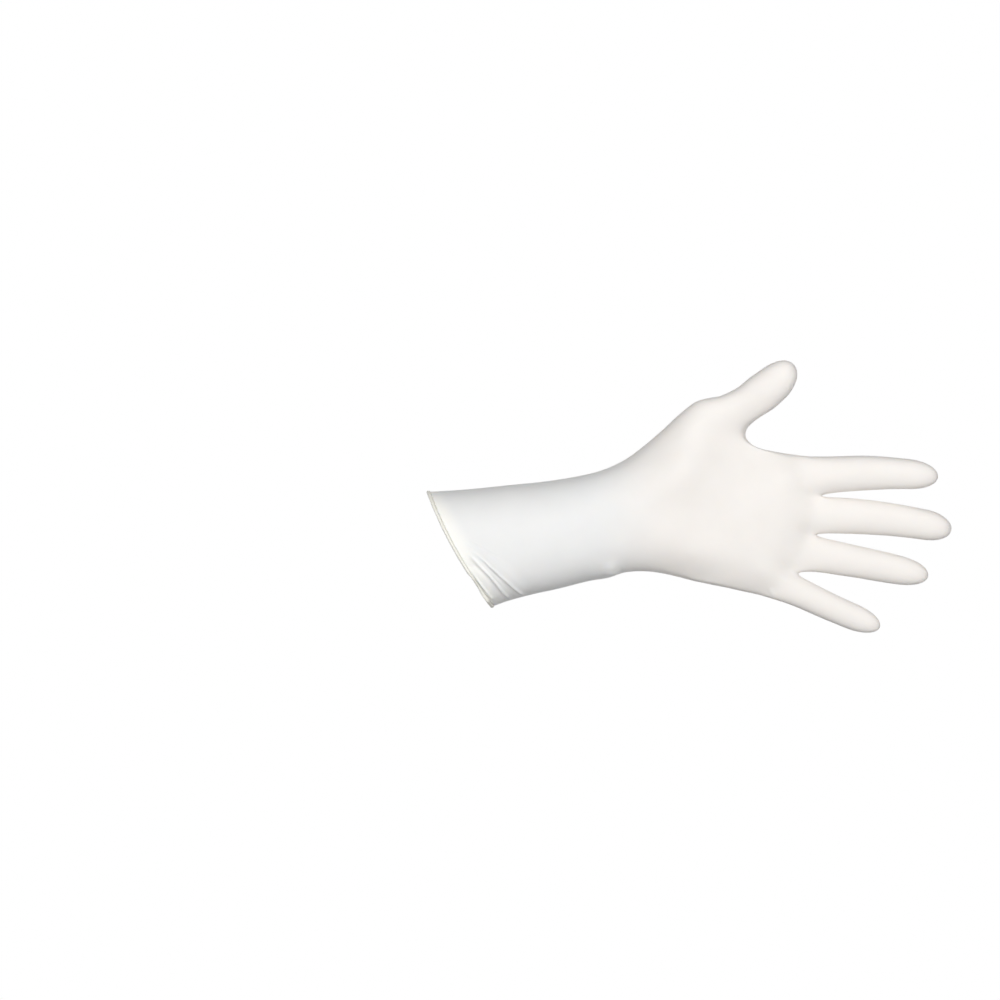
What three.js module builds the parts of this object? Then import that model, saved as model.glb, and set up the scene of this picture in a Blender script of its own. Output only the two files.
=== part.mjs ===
// Long-cuff cleanroom glove for a left hand, dip-moulded in one film with a rolled bead at the rim. It has
// the form that a spread hand gives it, and it is open inside from the rim to every fingertip. Lengths are
// millimetres and angles degrees. The origin is the middle of the cuff's mouth, +X runs to the middle
// fingertip, +Z to the thumb's side and -Y to the palm's side.
import * as THREE from "three";

// Sizes along the glove
const CUFF_LENGTH = 105; // middle of the rim to the wrist
const PALM_LENGTH = 112; // wrist to the root of the index finger
const RIM_SLANT = 17.8; // how far the rim's upper end is pulled back, and its lower end stays ahead

// Sizes across the glove
const CUFF_WIDTH = 72.3;
const WRIST_WIDTH = 67;
const PALM_WIDTH = 84.4; // across the four finger roots
const THUMB_REACH = 112.6; // little finger's side to the thumb's outer edge
const CUFF_DEPTH = 54; // palm side to back
const WRIST_DEPTH = 44;
const PALM_DEPTH = 32;

// Film and bead
const WALL = 1;
const BEAD_DIAMETER = 2.4;
const BEAD_GAP = 0.3; // clear distance from the film's edge to the bead
const WEB_GAP = 1.4; // least clear distance between two neighbouring fingers

const SKIN_COLOUR = 0xf1eeeb;
const BEAD_COLOUR = 0xf3f0e2;

// A table's rows as objects, with its columns named.
function named(columns, rows) {
  return rows.map((row) => Object.fromEntries(columns.map((column, i) => [column, row[i]])));
}

// Fingers from the thumb down. length is a share of PALM_LENGTH, width and bow are shares of PALM_WIDTH,
// and curl and lift shares of PALM_DEPTH. heading is the direction in the palm's plane, bow the
// centreline's sideways bend, curl the tip's bend towards the palm, lift the root's distance from the
// palm's middle plane, fullness the depth as a share of the width, and tip the share of the length where
// the end starts to round.
const FINGER_COLUMNS = ["name", "length", "width", "heading", "bow", "curl", "lift", "fullness", "tip"];
const FINGERS = named(FINGER_COLUMNS, [
  ["thumb", 0.4277, 0.2725, 35, -0.0154, 0.1875, -0.1875, 0.9, 0.68],
  ["index", 0.6688, 0.2595, -2.9, 0.0237, 0.156, -0.0156, 0.88, 0.76],
  ["middle", 0.7321, 0.2464, -9.1, 0.0237, 0.1875, 0.0313, 0.88, 0.8],
  ["ring", 0.6768, 0.2263, -13.8, 0.0036, 0.219, 0.0156, 0.88, 0.76],
  ["little", 0.5607, 0.2038, -27, -0.0107, 0.219, -0.0469, 0.9, 0.71],
]).map((finger) => ({
  ...finger,
  length: finger.length * PALM_LENGTH,
  width: finger.width * PALM_WIDTH,
  bow: finger.bow * PALM_WIDTH,
  curl: finger.curl * PALM_DEPTH,
  lift: finger.lift * PALM_DEPTH,
}));

// Half width along each finger, as a share of half its width, by the share of its length
const GIRTH_COLUMNS = ["at", "thumb", "index", "middle", "ring", "little"];
const GIRTH = named(GIRTH_COLUMNS, [
  [0, 1.06, 1.04, 1.08, 1.1, 1.1],
  [0.25, 0.99, 1.0, 1.05, 1.07, 1.02],
  [0.45, 1.035, 0.96, 0.995, 1.01, 0.975],
  [0.65, 0.99, 0.88, 0.935, 0.97, 0.94],
  [0.82, 0.93, 0.83, 0.89, 0.9, 0.93],
  [1, 0.93, 0.83, 0.89, 0.9, 0.93],
]);

// Cross-sections from the rim to the thumb's crotch. topX and botX place the ends of the section's upper
// and lower edge: 0 is the rim's middle, 1 the wrist and 2 the index finger's root. top and bot are their
// heights as shares of the size named by span. lead is how far the middle runs ahead, as a share of
// PALM_LENGTH. front and back are half depths as shares of the span's depth, and tilt lowers the upper
// edge towards the palm's side.
const SLANT = RIM_SLANT / CUFF_LENGTH;
const SECTION_COLUMNS = [
  "at", "span", "topX", "botX", "top", "bot", "lead", "front", "back", "tilt", "edge", "square",
];
const SLEEVE = named(SECTION_COLUMNS, [
  [0, "cuff", 0.011 - SLANT, 0.011 + SLANT, 0.5, -0.49, -0.028, 0.5, 0.5, 0, 2, 2],
  [0.092, "cuff", 0.048, 0.262, 0.504, -0.454, -0.012, 0.5, 0.5, 0, 2, 2],
  [0.204, "cuff", 0.286, 0.39, 0.522, -0.413, 0, 0.49, 0.49, 0, 2, 2],
  [0.336, "cuff", 0.543, 0.571, 0.543, -0.368, 0, 0.475, 0.475, 0, 2, 2],
  [0.454, "cuff", 0.762, 0.743, 0.583, -0.318, 0, 0.45, 0.45, 0, 2, 2],
  [0.523, "wrist", 0.876, 0.852, 0.674, -0.324, 0.005, 0.51, 0.51, 0, 2.05, 2.05],
  [0.586, "wrist", 0.981, 0.943, 0.744, -0.284, 0.018, 0.49, 0.49, 0, 2.1, 2.1],
  [0.66, "thumb", 1.08, 1.045, 0.506, -0.166, 0.045, 0.66, 0.63, 0.03, 2.15, 2.15],
  [0.753, "thumb", 1.192, 1.143, 0.592, -0.18, 0.089, 0.64, 0.57, 0.08, 2.2, 2.3],
  [0.845, "thumb", 1.304, 1.25, 0.685, -0.209, 0.152, 0.6, 0.52, 0.13, 2.25, 2.45],
  [0.914, "thumb", 1.393, 1.321, 0.741, -0.231, 0.183, 0.57, 0.5, 0.16, 2.3, 2.6],
  [1, "thumb", 1.518, 1.402, 0.762, -0.252, 0.222, 0.54, 0.48, 0.19, 2.35, 2.7],
]);

// Cross-sections from the thumb's crotch to the finger roots, in the same columns. The first one's upper
// edge is the crotch itself.
const PALM = named(SECTION_COLUMNS, [
  [0, "palm", 1.649, 1.402, 0.754, -0.3362, 0.1375, 0.54, 0.48, 0.118, 1.55, 2.7],
  [0.12, "palm", 1.651, 1.442, 0.692, -0.35, 0.1375, 0.53, 0.47, 0.1, 1.6, 2.75],
  [0.28, "palm", 1.703, 1.5, 0.635, -0.369, 0.1375, 0.5, 0.455, 0.07, 1.75, 2.8],
  [0.5, "palm", 1.799, 1.58, 0.597, -0.399, 0.1375, 0.44, 0.415, 0.04, 2, 2.75],
  [0.75, "palm", 1.899, 1.67, 0.569, -0.431, 0.1375, 0.375, 0.36, 0.015, 2.3, 2.65],
  [1, "palm", 1.99, 1.757, 0.549, -0.471, 0.1375, 0.32, 0.315, 0, 2.5, 2.5],
]);

// Where a section's width divides between the fingers, as shares from its upper edge
const THUMB_SHARE = 0.193;
const ROOT_SHARES = [0, 0.2825, 0.549, 0.8075, 1];

// Pads of the palm and hollows between them. x is counted as in SLEEVE, z and the spreads are shares of
// PALM_WIDTH, turn is the direction of the long spread, and height is a share of PALM_DEPTH, positive
// outwards.
const PAD_COLUMNS = ["name", "side", "x", "z", "long", "short", "turn", "height"];
const PADS = named(PAD_COLUMNS, [
  ["thumb_ball", "front", 1.3, 0.5, 0.27, 0.17, 38, 0.12],
  ["heel", "front", 1.32, -0.08, 0.3, 0.15, -14, 0.07],
  ["palm_hollow", "front", 1.6, 0.2, 0.24, 0.15, 60, -0.03],
  ["index_pad", "front", 1.87, 0.4, 0.1, 0.1, 0, 0.05],
  ["little_pad", "front", 1.74, -0.28, 0.12, 0.1, -20, 0.06],
  ["wrist_bone", "back", 0.9, -0.1, 0.12, 0.1, 0, 0.08],
  ["index_knuckle", "back", 1.83, 0.4, 0.1, 0.08, 0, 0.05],
  ["middle_knuckle", "back", 1.86, 0.14, 0.1, 0.08, 0, 0.06],
  ["ring_knuckle", "back", 1.8, -0.12, 0.1, 0.07, -15, 0.05],
  ["little_knuckle", "back", 1.69, -0.32, 0.09, 0.07, -25, 0.05],
]);

// Folds that the pull on the cuff makes, and one where the film gathers at the wrist. Both ends are given
// as pads are, z as shares of CUFF_WIDTH. sag bends the fold downwards and spread is its half width, as
// shares of CUFF_WIDTH, and height is a share of CUFF_DEPTH.
const FOLD_COLUMNS = ["name", "side", "x0", "z0", "x1", "z1", "sag", "spread", "height"];
const FOLDS = named(FOLD_COLUMNS, [
  ["long_fold", "front", 0.06, -0.01, 0.37, -0.4, 0.02, 0.05, 0.03],
  ["middle_fold", "front", 0.04, -0.04, 0.28, -0.42, 0.03, 0.05, 0.03],
  ["rim_fold", "front", 0.055, -0.16, 0.17, -0.46, 0.04, 0.045, 0.02],
  ["wrist_fold", "front", 0.84, -0.19, 0.91, -0.26, 0, 0.05, 0.025],
  ["back_fold", "back", 0.02, 0.05, 0.33, -0.38, 0.02, 0.05, 0.03],
]);

// Mesh steps
const COLUMNS = 4; // faces across one finger on each side
const SLEEVE_ROWS = 27;
const CUFF_ROW_CROWDING = 0.82; // below 1, rows stand closer together near the rim
const PALM_ROWS = 8;
const FINGER_ROWS = [0.035, 0.08, 0.14, 0.22, 0.32, 0.43, 0.54, 0.65, 0.75, 0.83, 0.9, 0.95, 0.985];
const THUMB_ROWS = [0.05, 0.12, 0.21, 0.32, 0.44, 0.56, 0.67, 0.77, 0.86, 0.93, 0.98];
const BEAD_SIDES = 8;

// Blending at the crotches
const WEB_ANGLE = 30; // the part of a finger's round section, each side, that faces its neighbour
const SPLIT_START = { thumb: 0.78, fingers: 0.62 }; // share of the sections where the division begins
const ROOT_FADE = { thumb: 0.3, fingers: 0.22 }; // share of a finger in which its root's form dies out
const WEB_BAY = { depth: 0.1066 * PALM_WIDTH, share: 0.16 }; // lines across the palm bend back by the web
const PALM_FADE = 0.75; // share of the palm in which the sleeve's last section dies out
const COLUMN_CROWDING = 0.0592 * PALM_WIDTH; // how near the upper edge the palm's lines begin to crowd
const WEB_SOFTNESS = 0.1066 * PALM_WIDTH; // reach of the smoothing round a crotch
const WEB_PASSES = 2;
// Webs from the thumb's down: how much thinner the skin gets round each and how far, and how far the web's
// faces stand back from its edge at the half thickness named, and how far round. All but thinning are
// shares of PALM_WIDTH.
const WEB_COLUMNS = ["thinning", "thinReach", "setBack", "half", "roundReach"];
const WEBS = named(WEB_COLUMNS, [
  [0.3, 0.178, 0.0415, 0.0711, 0.1066],
  [0.1, 0.0711, 0.0213, 0.0592, 0.0474],
  [0.1, 0.0711, 0.0213, 0.0592, 0.0474],
  [0.1, 0.0711, 0.0213, 0.0592, 0.0474],
]);

// Evening of the depth along the glove where the thumb and the fingers leave: how far each way, and how
// broadly
const EVENING = {
  thumb: { reach: 0.308 * PALM_WIDTH, breadth: 0.1066 * PALM_WIDTH },
  fingers: { reach: 0.2133 * PALM_WIDTH, breadth: 0.0711 * PALM_WIDTH },
};

const radians = (degrees) => (degrees * Math.PI) / 180;
const mix = (a, b, t) => a + (b - a) * t;
const clamp01 = (t) => Math.min(1, Math.max(0, t));
const ease = (t) => clamp01(t) ** 2 * (3 - 2 * clamp01(t));

// A smooth curve through one column of a table: cubic pieces whose slopes follow the neighbouring rows.
function curve(rows, column) {
  const x = rows.map((row) => row.at);
  const y = rows.map((row) => row[column]);
  const last = x.length - 1;
  const slope = y.map((_, i) => {
    const a = Math.max(0, i - 1);
    const b = Math.min(last, i + 1);
    return (y[b] - y[a]) / (x[b] - x[a]);
  });
  return (at) => {
    let i = 0;
    while (i < last - 1 && at > x[i + 1]) i += 1;
    const h = x[i + 1] - x[i];
    const t = clamp01((at - x[i]) / h);
    const t2 = t * t;
    const t3 = t2 * t;
    return (
      (2 * t3 - 3 * t2 + 1) * y[i] +
      (t3 - 2 * t2 + t) * h * slope[i] +
      (3 * t2 - 2 * t3) * y[i + 1] +
      (t3 - t2) * h * slope[i + 1]
    );
  };
}

// Distance along the glove: 0 is the rim's middle, 1 the wrist and 2 the index finger's root.
const along = (x) => (x < 1 ? x * CUFF_LENGTH : CUFF_LENGTH + (x - 1) * PALM_LENGTH);

const SPANS = {
  cuff: { width: CUFF_WIDTH, depth: CUFF_DEPTH },
  wrist: { width: WRIST_WIDTH, depth: WRIST_DEPTH },
  thumb: { width: THUMB_REACH, depth: PALM_DEPTH },
  palm: { width: PALM_WIDTH, depth: PALM_DEPTH },
};

// The same table in millimetres.
function sized(rows) {
  return rows.map((row) => {
    const { width, depth } = SPANS[row.span];
    return {
      at: row.at,
      topX: along(row.topX),
      botX: along(row.botX),
      top: row.top * width,
      bot: row.bot * width,
      lead: row.lead * PALM_LENGTH,
      front: row.front * depth,
      back: row.back * depth,
      tilt: row.tilt * PALM_DEPTH,
      edge: row.edge,
      square: row.square,
    };
  });
}

// A stretch of the trunk as a function of its share, giving one section's sizes in millimetres.
function trunk(rows) {
  const columns = Object.keys(rows[0]).filter((key) => key !== "at");
  const curves = columns.map((key) => [key, curve(rows, key)]);
  return (at) => Object.fromEntries(curves.map(([key, f]) => [key, f(at)]));
}

// A point in a section's middle surface, at a share of its width from the upper edge. Its middle runs
// ahead by lead, in a parabola, and its upper edge lies lower by tilt.
function middle(section, share) {
  return new THREE.Vector3(
    mix(section.topX, section.botX, share) + section.lead * 4 * share * (1 - share),
    -section.tilt * (1 - share) ** 2,
    mix(section.top, section.bot, share),
  );
}

// Depth of a section at a share of its width: 0 at the edges and 1 in the middle, a superellipse whose
// power is edge in the upper half and square in the lower.
function swell(section, share) {
  const power = share < 0.5 ? section.edge : section.square;
  return Math.max(0, 1 - Math.abs(2 * share - 1) ** power) ** (1 / power);
}

// Root of each finger as the round section's cosine steps, from one crotch to the next. An outer finger's
// first or last step starts at its round edge.
function rootShare(step, outerTop, outerBottom) {
  const web = radians(WEB_ANGLE);
  const angle = mix(web, Math.PI - web, step);
  const first = outerTop ? 1 : Math.cos(web);
  const last = outerBottom ? -1 : -Math.cos(web);
  return (first - Math.cos(angle)) / (first - last);
}

// Share of the section's width for every column of a trunk that holds the given fingers. mouth is the even
// spacing round a plain tube, and split is the fingers' own spacing.
function columnShares(bounds) {
  const groups = bounds.length - 1;
  const count = groups * COLUMNS;
  const edge = Math.PI / (count + 2);
  return Array.from({ length: count + 1 }, (_, c) => {
    const angle = mix(edge, Math.PI - edge, c / count);
    const group = Math.min(groups - 1, Math.floor(c / COLUMNS));
    const step = (c - group * COLUMNS) / COLUMNS;
    const inner = rootShare(step, group === 0, group === groups - 1);
    const split = mix(bounds[group], bounds[group + 1], inner);
    return { mouth: (1 - Math.cos(angle)) / 2, split, group, step };
  });
}

const PALM_COLUMNS = columnShares(ROOT_SHARES);
const SLEEVE_COLUMNS = columnShares([0, ...ROOT_SHARES.map((s) => mix(THUMB_SHARE, 1, s))]);

// Shares of the palm's columns at one of its sections. Past the thumb's web the upper edge falls, and the
// columns keep their height and crowd together below it; further on they take the fingers' own spacing.
function palmShares(palmAt, at) {
  const start = palmAt(0);
  const here = palmAt(at);
  const drop = start.top - here.top;
  const soft = Math.min(COLUMN_CROWDING, drop * 0.8);
  return PALM_COLUMNS.map((column, i) => {
    const share = (SLEEVE_COLUMNS[COLUMNS + i].split - THUMB_SHARE) / (1 - THUMB_SHARE);
    const below = share * (start.top - start.bot) - drop;
    const held = (below + Math.hypot(below, soft)) / 2 / (here.top - here.bot);
    return mix(held, column.split, ease(at / PALM_FADE));
  });
}

// Round section of a finger at its root, as distances from the palm's middle plane.
function rootDepth(finger, step, side) {
  const angle = mix(radians(WEB_ANGLE), radians(180 - WEB_ANGLE), step);
  return finger.lift + side * Math.sin(angle) * (finger.width / 2) * finger.fullness;
}

// One closed ring of the trunk: the upper edge, the palm's side downwards, the lower edge, and the back
// upwards. setBackAt moves a point towards the rim.
function trunkRing(section, shares, depthAt, setBackAt = () => 0) {
  const face = (side) =>
    shares.map((share, i) => {
      const p = middle(section, share);
      p.x -= setBackAt(share);
      p.y += depthAt(section, share, i, side);
      return p;
    });
  return [middle(section, 0), ...face(-1), middle(section, 1), ...face(1).reverse()];
}

// Depth of the plain tube on one side.
function tubeDepth(section, share, side) {
  return side * swell(section, share) * (side < 0 ? section.front : section.back);
}

const tubeDepthAt = (section, share, _, side) => tubeDepth(section, share, side);

// Finger ring at a share of its length: round, with its width held clear of the fingers beside it.
function fingerRing(finger, root, at, room) {
  const girth = curve(GIRTH, finger.name)(at);
  const end = at > finger.tip ? Math.sqrt(1 - ((at - finger.tip) / (1 - finger.tip)) ** 2) : 1;
  const half = (finger.width / 2) * girth * end;
  const { axis, across } = headings(finger);
  const centre = root
    .clone()
    .addScaledVector(axis, at * finger.length)
    .addScaledVector(across, finger.bow * Math.sin(Math.PI * at));
  centre.y += -finger.curl * at * at;
  const [above, below] = room(centre, half);
  const web = radians(WEB_ANGLE);
  const angles = [0];
  for (let c = 0; c <= COLUMNS; c += 1) angles.push(mix(web, Math.PI - web, c / COLUMNS));
  angles.push(Math.PI);
  for (let c = 0; c <= COLUMNS; c += 1) angles.push(Math.PI + mix(web, Math.PI - web, c / COLUMNS));
  return angles.map((angle) => {
    const reach = Math.cos(angle) > 0 ? above : below;
    const p = centre.clone().addScaledVector(across, reach * Math.cos(angle));
    p.y -= half * finger.fullness * Math.sin(angle);
    return p;
  });
}

// A finger's direction and the direction across it, towards the thumb's side.
function headings(finger) {
  const angle = radians(finger.heading);
  return {
    axis: new THREE.Vector3(Math.cos(angle), 0, Math.sin(angle)),
    across: new THREE.Vector3(-Math.sin(angle), 0, Math.cos(angle)),
  };
}

// Gathers points and faces. Faces are given with the outside on their left when seen from outside.
class Surface {
  constructor() {
    this.points = [];
    this.faces = [];
  }
  add(points) {
    return points.map((p) => this.points.push(p) - 1);
  }
  // Joins two rings of the same count, the second further from the rim.
  join(near, far) {
    near.forEach((a, i) => {
      const next = (i + 1) % near.length;
      this.faces.push([a, near[next], far[next]], [a, far[next], far[i]]);
    });
  }
  close(ring, tip) {
    ring.forEach((a, i) => this.faces.push([a, ring[(i + 1) % ring.length], tip]));
  }
  normals() {
    const normals = this.points.map(() => new THREE.Vector3());
    for (const [a, b, c] of this.faces) {
      const ab = this.points[b].clone().sub(this.points[a]);
      const ac = this.points[c].clone().sub(this.points[a]);
      const n = ab.cross(ac);
      for (const i of [a, b, c]) normals[i].add(n);
    }
    return normals.map((n) => n.normalize());
  }
  neighbours() {
    const sets = this.points.map(() => new Set());
    for (const [a, b, c] of this.faces) {
      sets[a].add(b).add(c);
      sets[b].add(a).add(c);
      sets[c].add(a).add(b);
    }
    return sets.map((s) => [...s]);
  }
}

// The points of a ring that belong to the fingers from first to last of a trunk with that many, between
// two edge points. A ring lists the upper edge, the palm's side, the lower edge and the back.
function part(ring, groups, first, last, upper, lower) {
  const count = groups * COLUMNS;
  const front = ring.slice(1 + first * COLUMNS, 2 + last * COLUMNS);
  const back = ring.slice(count + 3 + (groups - last) * COLUMNS, count + 4 + (groups - first) * COLUMNS);
  return [upper, ...front, lower, ...back];
}

// The outer skin, from the rim's ring to the fingertips.
function buildSkin() {
  const skin = new Surface();
  const sleeveAt = trunk(sized(SLEEVE));
  const crotch = middle(sleeveAt(1), THUMB_SHARE);
  const palmRows = sized(PALM);
  Object.assign(palmRows[0], { topX: crotch.x, top: crotch.z });
  const palmAt = trunk(palmRows);

  // Where the thumb leaves, the sleeve is the thumb's round root beside the palm's own tube, which starts
  // as deep as the web and soon takes its full depth.
  const crotchDepth = (section, share, index, side) => {
    const column = SLEEVE_COLUMNS[index];
    const offset = middle(section, share).y;
    if (index < COLUMNS) return rootDepth(FINGERS[0], column.step, side) - offset;
    const beyond = clamp01((share - THUMB_SHARE) / (1 - THUMB_SHARE));
    const web = (rootDepth(FINGERS[0], 1, side) - offset) * (1 - beyond) ** 6;
    return side * Math.hypot(web, tubeDepth(palmAt(0), beyond, side));
  };
  const rings = [];
  for (let row = 0; row <= SLEEVE_ROWS; row += 1) {
    const at = (row / SLEEVE_ROWS) ** (1 / CUFF_ROW_CROWDING);
    const weight = ease((at - SPLIT_START.thumb) / (1 - SPLIT_START.thumb));
    const depthAt = (section, share, index, side) =>
      mix(tubeDepth(section, share, side), crotchDepth(section, share, index, side), weight);
    const setBackAt = (share) => {
      const beyond = clamp01((share - THUMB_SHARE) / (1 - THUMB_SHARE)) / WEB_BAY.share;
      return weight * WEB_BAY.depth * beyond * Math.exp(1 - beyond);
    };
    const shares = SLEEVE_COLUMNS.map((c) => mix(c.mouth, c.split, ease(at)));
    rings.push(skin.add(trunkRing(sleeveAt(at), shares, depthAt, setBackAt)));
  }
  rings.slice(1).forEach((ring, i) => skin.join(rings[i], ring));
  const lastSleeve = rings[rings.length - 1];
  crotch.y = FINGERS[0].lift / 2;
  const crotches = [crotch];
  const [thumbWeb] = skin.add([crotch.clone()]);

  const groups = FINGERS.length;
  const thumbRoot = part(lastSleeve, groups, 0, 1, lastSleeve[0], thumbWeb);
  const palmRoot = part(lastSleeve, groups, 1, groups, thumbWeb, lastSleeve[groups * COLUMNS + 2]);

  let previous = palmRoot;
  const palms = [];
  const opening = palmRoot.map((i) => skin.points[i].clone());
  const palmStart = trunkRing(palmAt(0), palmShares(palmAt, 0), tubeDepthAt);
  for (let row = 1; row <= PALM_ROWS; row += 1) {
    const at = row / PALM_ROWS;
    const weight = ease((at - SPLIT_START.fingers) / (1 - SPLIT_START.fingers));
    const depthAt = (section, share, index, side) => {
      const column = PALM_COLUMNS[index];
      const own = rootDepth(FINGERS[column.group + 1], column.step, side) - middle(section, share).y;
      return mix(tubeDepth(section, share, side), own, weight);
    };
    const ring = trunkRing(palmAt(at), palmShares(palmAt, at), depthAt);
    const fade = 1 - ease(at / PALM_FADE);
    ring.forEach((p, i) => p.addScaledVector(opening[i].clone().sub(palmStart[i]), fade));
    const added = skin.add(ring);
    skin.join(previous, added);
    palms.push(added);
    previous = added;
  }

  const knuckles = palmAt(1);
  const webs = ROOT_SHARES.slice(1, -1).map((share, i) => {
    const p = middle(knuckles, share);
    p.y = (FINGERS[i + 1].lift + FINGERS[i + 2].lift) / 2;
    crotches.push(p);
    return skin.add([p.clone()])[0];
  });
  const count = (groups - 1) * COLUMNS;
  const edges = [previous[0], ...webs, previous[count + 2]];
  const roots = [thumbRoot];
  for (let i = 0; i < groups - 1; i += 1) {
    roots.push(part(previous, groups - 1, i, i + 1, edges[i], edges[i + 1]));
  }
  const grown = growFingers(skin, roots);
  shapeWebs(skin, crotches);
  const low = groups * COLUMNS + 2;
  const sleeveToPalm = rings.map((ring) => part(ring, groups, 1, groups, ring[0], ring[low]));
  const sleeveToThumb = rings.map((ring) => part(ring, groups, 0, 1, ring[0], ring[0]));
  evenLines(skin, [...sleeveToPalm, ...palms], rings.length - 1, EVENING.thumb, [0]);
  evenLines(skin, [...sleeveToThumb, ...grown[0]], rings.length - 1, EVENING.thumb, [COLUMNS + 2]);
  for (let i = 0; i < groups - 1; i += 1) {
    const own = palms.map((ring) => part(ring, groups - 1, i, i + 1, ring[0], ring[0]));
    evenLines(skin, [...own, ...grown[i + 1]], palms.length - 1, EVENING.fingers, [0, COLUMNS + 2]);
  }
  soften(skin, crotches);
  return { skin, rim: rings[0], next: rings[1] };
}

// Thins the skin round each web and rounds the web's edge.
function shapeWebs(skin, crotches) {
  crotches.forEach((crotch, i) => {
    const { thinning, thinReach, setBack, half, roundReach } = WEBS[i];
    for (const p of skin.points) {
      const d = Math.hypot(p.x - crotch.x, p.z - crotch.z) / PALM_WIDTH;
      const rise = (p.y - crotch.y) * (1 - thinning * Math.exp(-((d / thinReach) ** 2)));
      p.y = crotch.y + rise;
      const edge = Math.min(1, (rise / (half * PALM_WIDTH)) ** 2);
      p.x -= setBack * PALM_WIDTH * Math.exp(-((d / roundReach) ** 2)) * edge;
    }
  });
}

// Adds every finger to its root ring.
function growFingers(skin, roots) {
  const grown = [];
  const centres = roots.map((root, i) => {
    const upper = skin.points[root[0]];
    const lower = skin.points[root[COLUMNS + 2]];
    return upper.clone().add(lower).multiplyScalar(0.5).setY(FINGERS[i].lift);
  });
  FINGERS.forEach((finger, i) => {
    const isThumb = i === 0;
    const steps = isThumb ? THUMB_ROWS : FINGER_ROWS;
    const fadeLength = isThumb ? ROOT_FADE.thumb : ROOT_FADE.fingers;
    // Half widths above and below the centre, each kept to this finger's share of the way to its neighbour.
    const room = (centre, half) =>
      [i - 1, i + 1].map((j) => {
        if (isThumb || j < 1 || j >= FINGERS.length) return half;
        const other = FINGERS[j];
        const away = headings(other).across.dot(centre.clone().sub(centres[j]));
        const share = finger.width / (finger.width + other.width);
        return Math.min(half, Math.abs(away) * share - WEB_GAP / 2);
      });
    const start = fingerRing(finger, centres[i], 0, (_, half) => [half, half]);
    const offsets = roots[i].map((index, k) => skin.points[index].clone().sub(start[k]));
    let previous = roots[i];
    grown.push([]);
    for (const at of steps) {
      const fade = (1 - clamp01(at / fadeLength)) ** 2;
      const ring = fingerRing(finger, centres[i], at, room);
      ring.forEach((p, k) => p.addScaledVector(offsets[k], fade));
      const added = skin.add(ring);
      skin.join(previous, added);
      grown[i].push(added);
      previous = added;
    }
    const [tip] = skin.add([fingerRing(finger, centres[i], 1, (_, half) => [half, half])[0]]);
    skin.close(previous, tip);
  });
  return grown;
}

// Evens the depth along every line that runs through the rings given, round the ring where the form
// divides. Lines through the columns in skipped are left alone.
function evenLines(skin, rings, division, { reach, breadth }, skipped) {
  rings[0].forEach((_, column) => {
    if (skipped.includes(column)) return;
    const line = rings.map((ring) => skin.points[ring[column]]);
    const steps = line.map((p, i) => (i ? Math.hypot(p.x - line[i - 1].x, p.z - line[i - 1].z) : 0));
    let run = 0;
    const runs = steps.map((step) => (run += step));
    const lengths = steps.map((step, i) => (step + (steps[i + 1] ?? step)) / 2);
    const evened = line.map((_p, i) => {
      const weights = runs.map((r, j) => lengths[j] * Math.exp(-(((r - runs[i]) / breadth) ** 2)));
      const total = weights.reduce((sum, w) => sum + w, 0);
      return weights.reduce((sum, w, j) => sum + w * line[j].y, 0) / total;
    });
    line.forEach((p, i) => {
      p.y = mix(p.y, evened[i], Math.exp(-(((runs[i] - runs[division]) / reach) ** 2)));
    });
  });
}

// Draws points near a crotch towards the middle of their neighbours, so that the web is round.
function soften(skin, crotches) {
  const neighbours = skin.neighbours();
  const weights = skin.points.map((p) => {
    const near = Math.min(...crotches.map((c) => Math.hypot(p.x - c.x, p.z - c.z)));
    return 0.5 * Math.exp(-((near / WEB_SOFTNESS) ** 2));
  });
  for (let pass = 0; pass < WEB_PASSES; pass += 1) {
    const means = neighbours.map((near) => {
      const mean = new THREE.Vector3();
      for (const j of near) mean.add(skin.points[j]);
      return mean.divideScalar(near.length);
    });
    skin.points.forEach((p, i) => p.lerp(means[i], weights[i]));
  }
}

// Height of the pads at a point of one side.
function padHeight(point, side) {
  return PADS.filter((pad) => pad.side === side).reduce((sum, pad) => {
    const angle = radians(pad.turn);
    const dx = point.x - along(pad.x);
    const dz = point.z - pad.z * PALM_WIDTH;
    const u = (dx * Math.cos(angle) + dz * Math.sin(angle)) / (pad.long * PALM_WIDTH);
    const v = (dz * Math.cos(angle) - dx * Math.sin(angle)) / (pad.short * PALM_WIDTH);
    return sum + pad.height * PALM_DEPTH * Math.exp(-(u * u + v * v));
  }, 0);
}

// Height of the folds at a point of one side: a rounded ridge along a sagging line that dies out at both
// ends.
function foldHeight(point, side) {
  return FOLDS.filter((fold) => fold.side === side).reduce((sum, fold) => {
    const ax = along(fold.x0);
    const az = fold.z0 * CUFF_WIDTH;
    const bx = along(fold.x1) - ax;
    const bz = fold.z1 * CUFF_WIDTH - az;
    const length = Math.hypot(bx, bz);
    const t = ((point.x - ax) * bx + (point.z - az) * bz) / (length * length);
    const off = ((point.x - ax) * bz - (point.z - az) * bx) / length;
    const sag = -fold.sag * CUFF_WIDTH * Math.sin(Math.PI * clamp01(t));
    const v = (off - sag) / (fold.spread * CUFF_WIDTH);
    const ends = t > 0 && t < 1 ? Math.sin(Math.PI * t) ** 0.6 : 0;
    return sum + fold.height * CUFF_DEPTH * ends * Math.exp(-(v * v));
  }, 0);
}

// Raises the pads and folds along the skin's own normals, most where it faces the palm's side or the back.
function raise(skin) {
  const normals = skin.normals();
  skin.points.forEach((p, i) => {
    const side = normals[i].y < 0 ? "front" : "back";
    const facing = Math.abs(normals[i].y);
    const height = padHeight(p, side) * facing ** 2 + foldHeight(p, side) * ease(facing / 0.4);
    p.addScaledVector(normals[i], height);
  });
}

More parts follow.
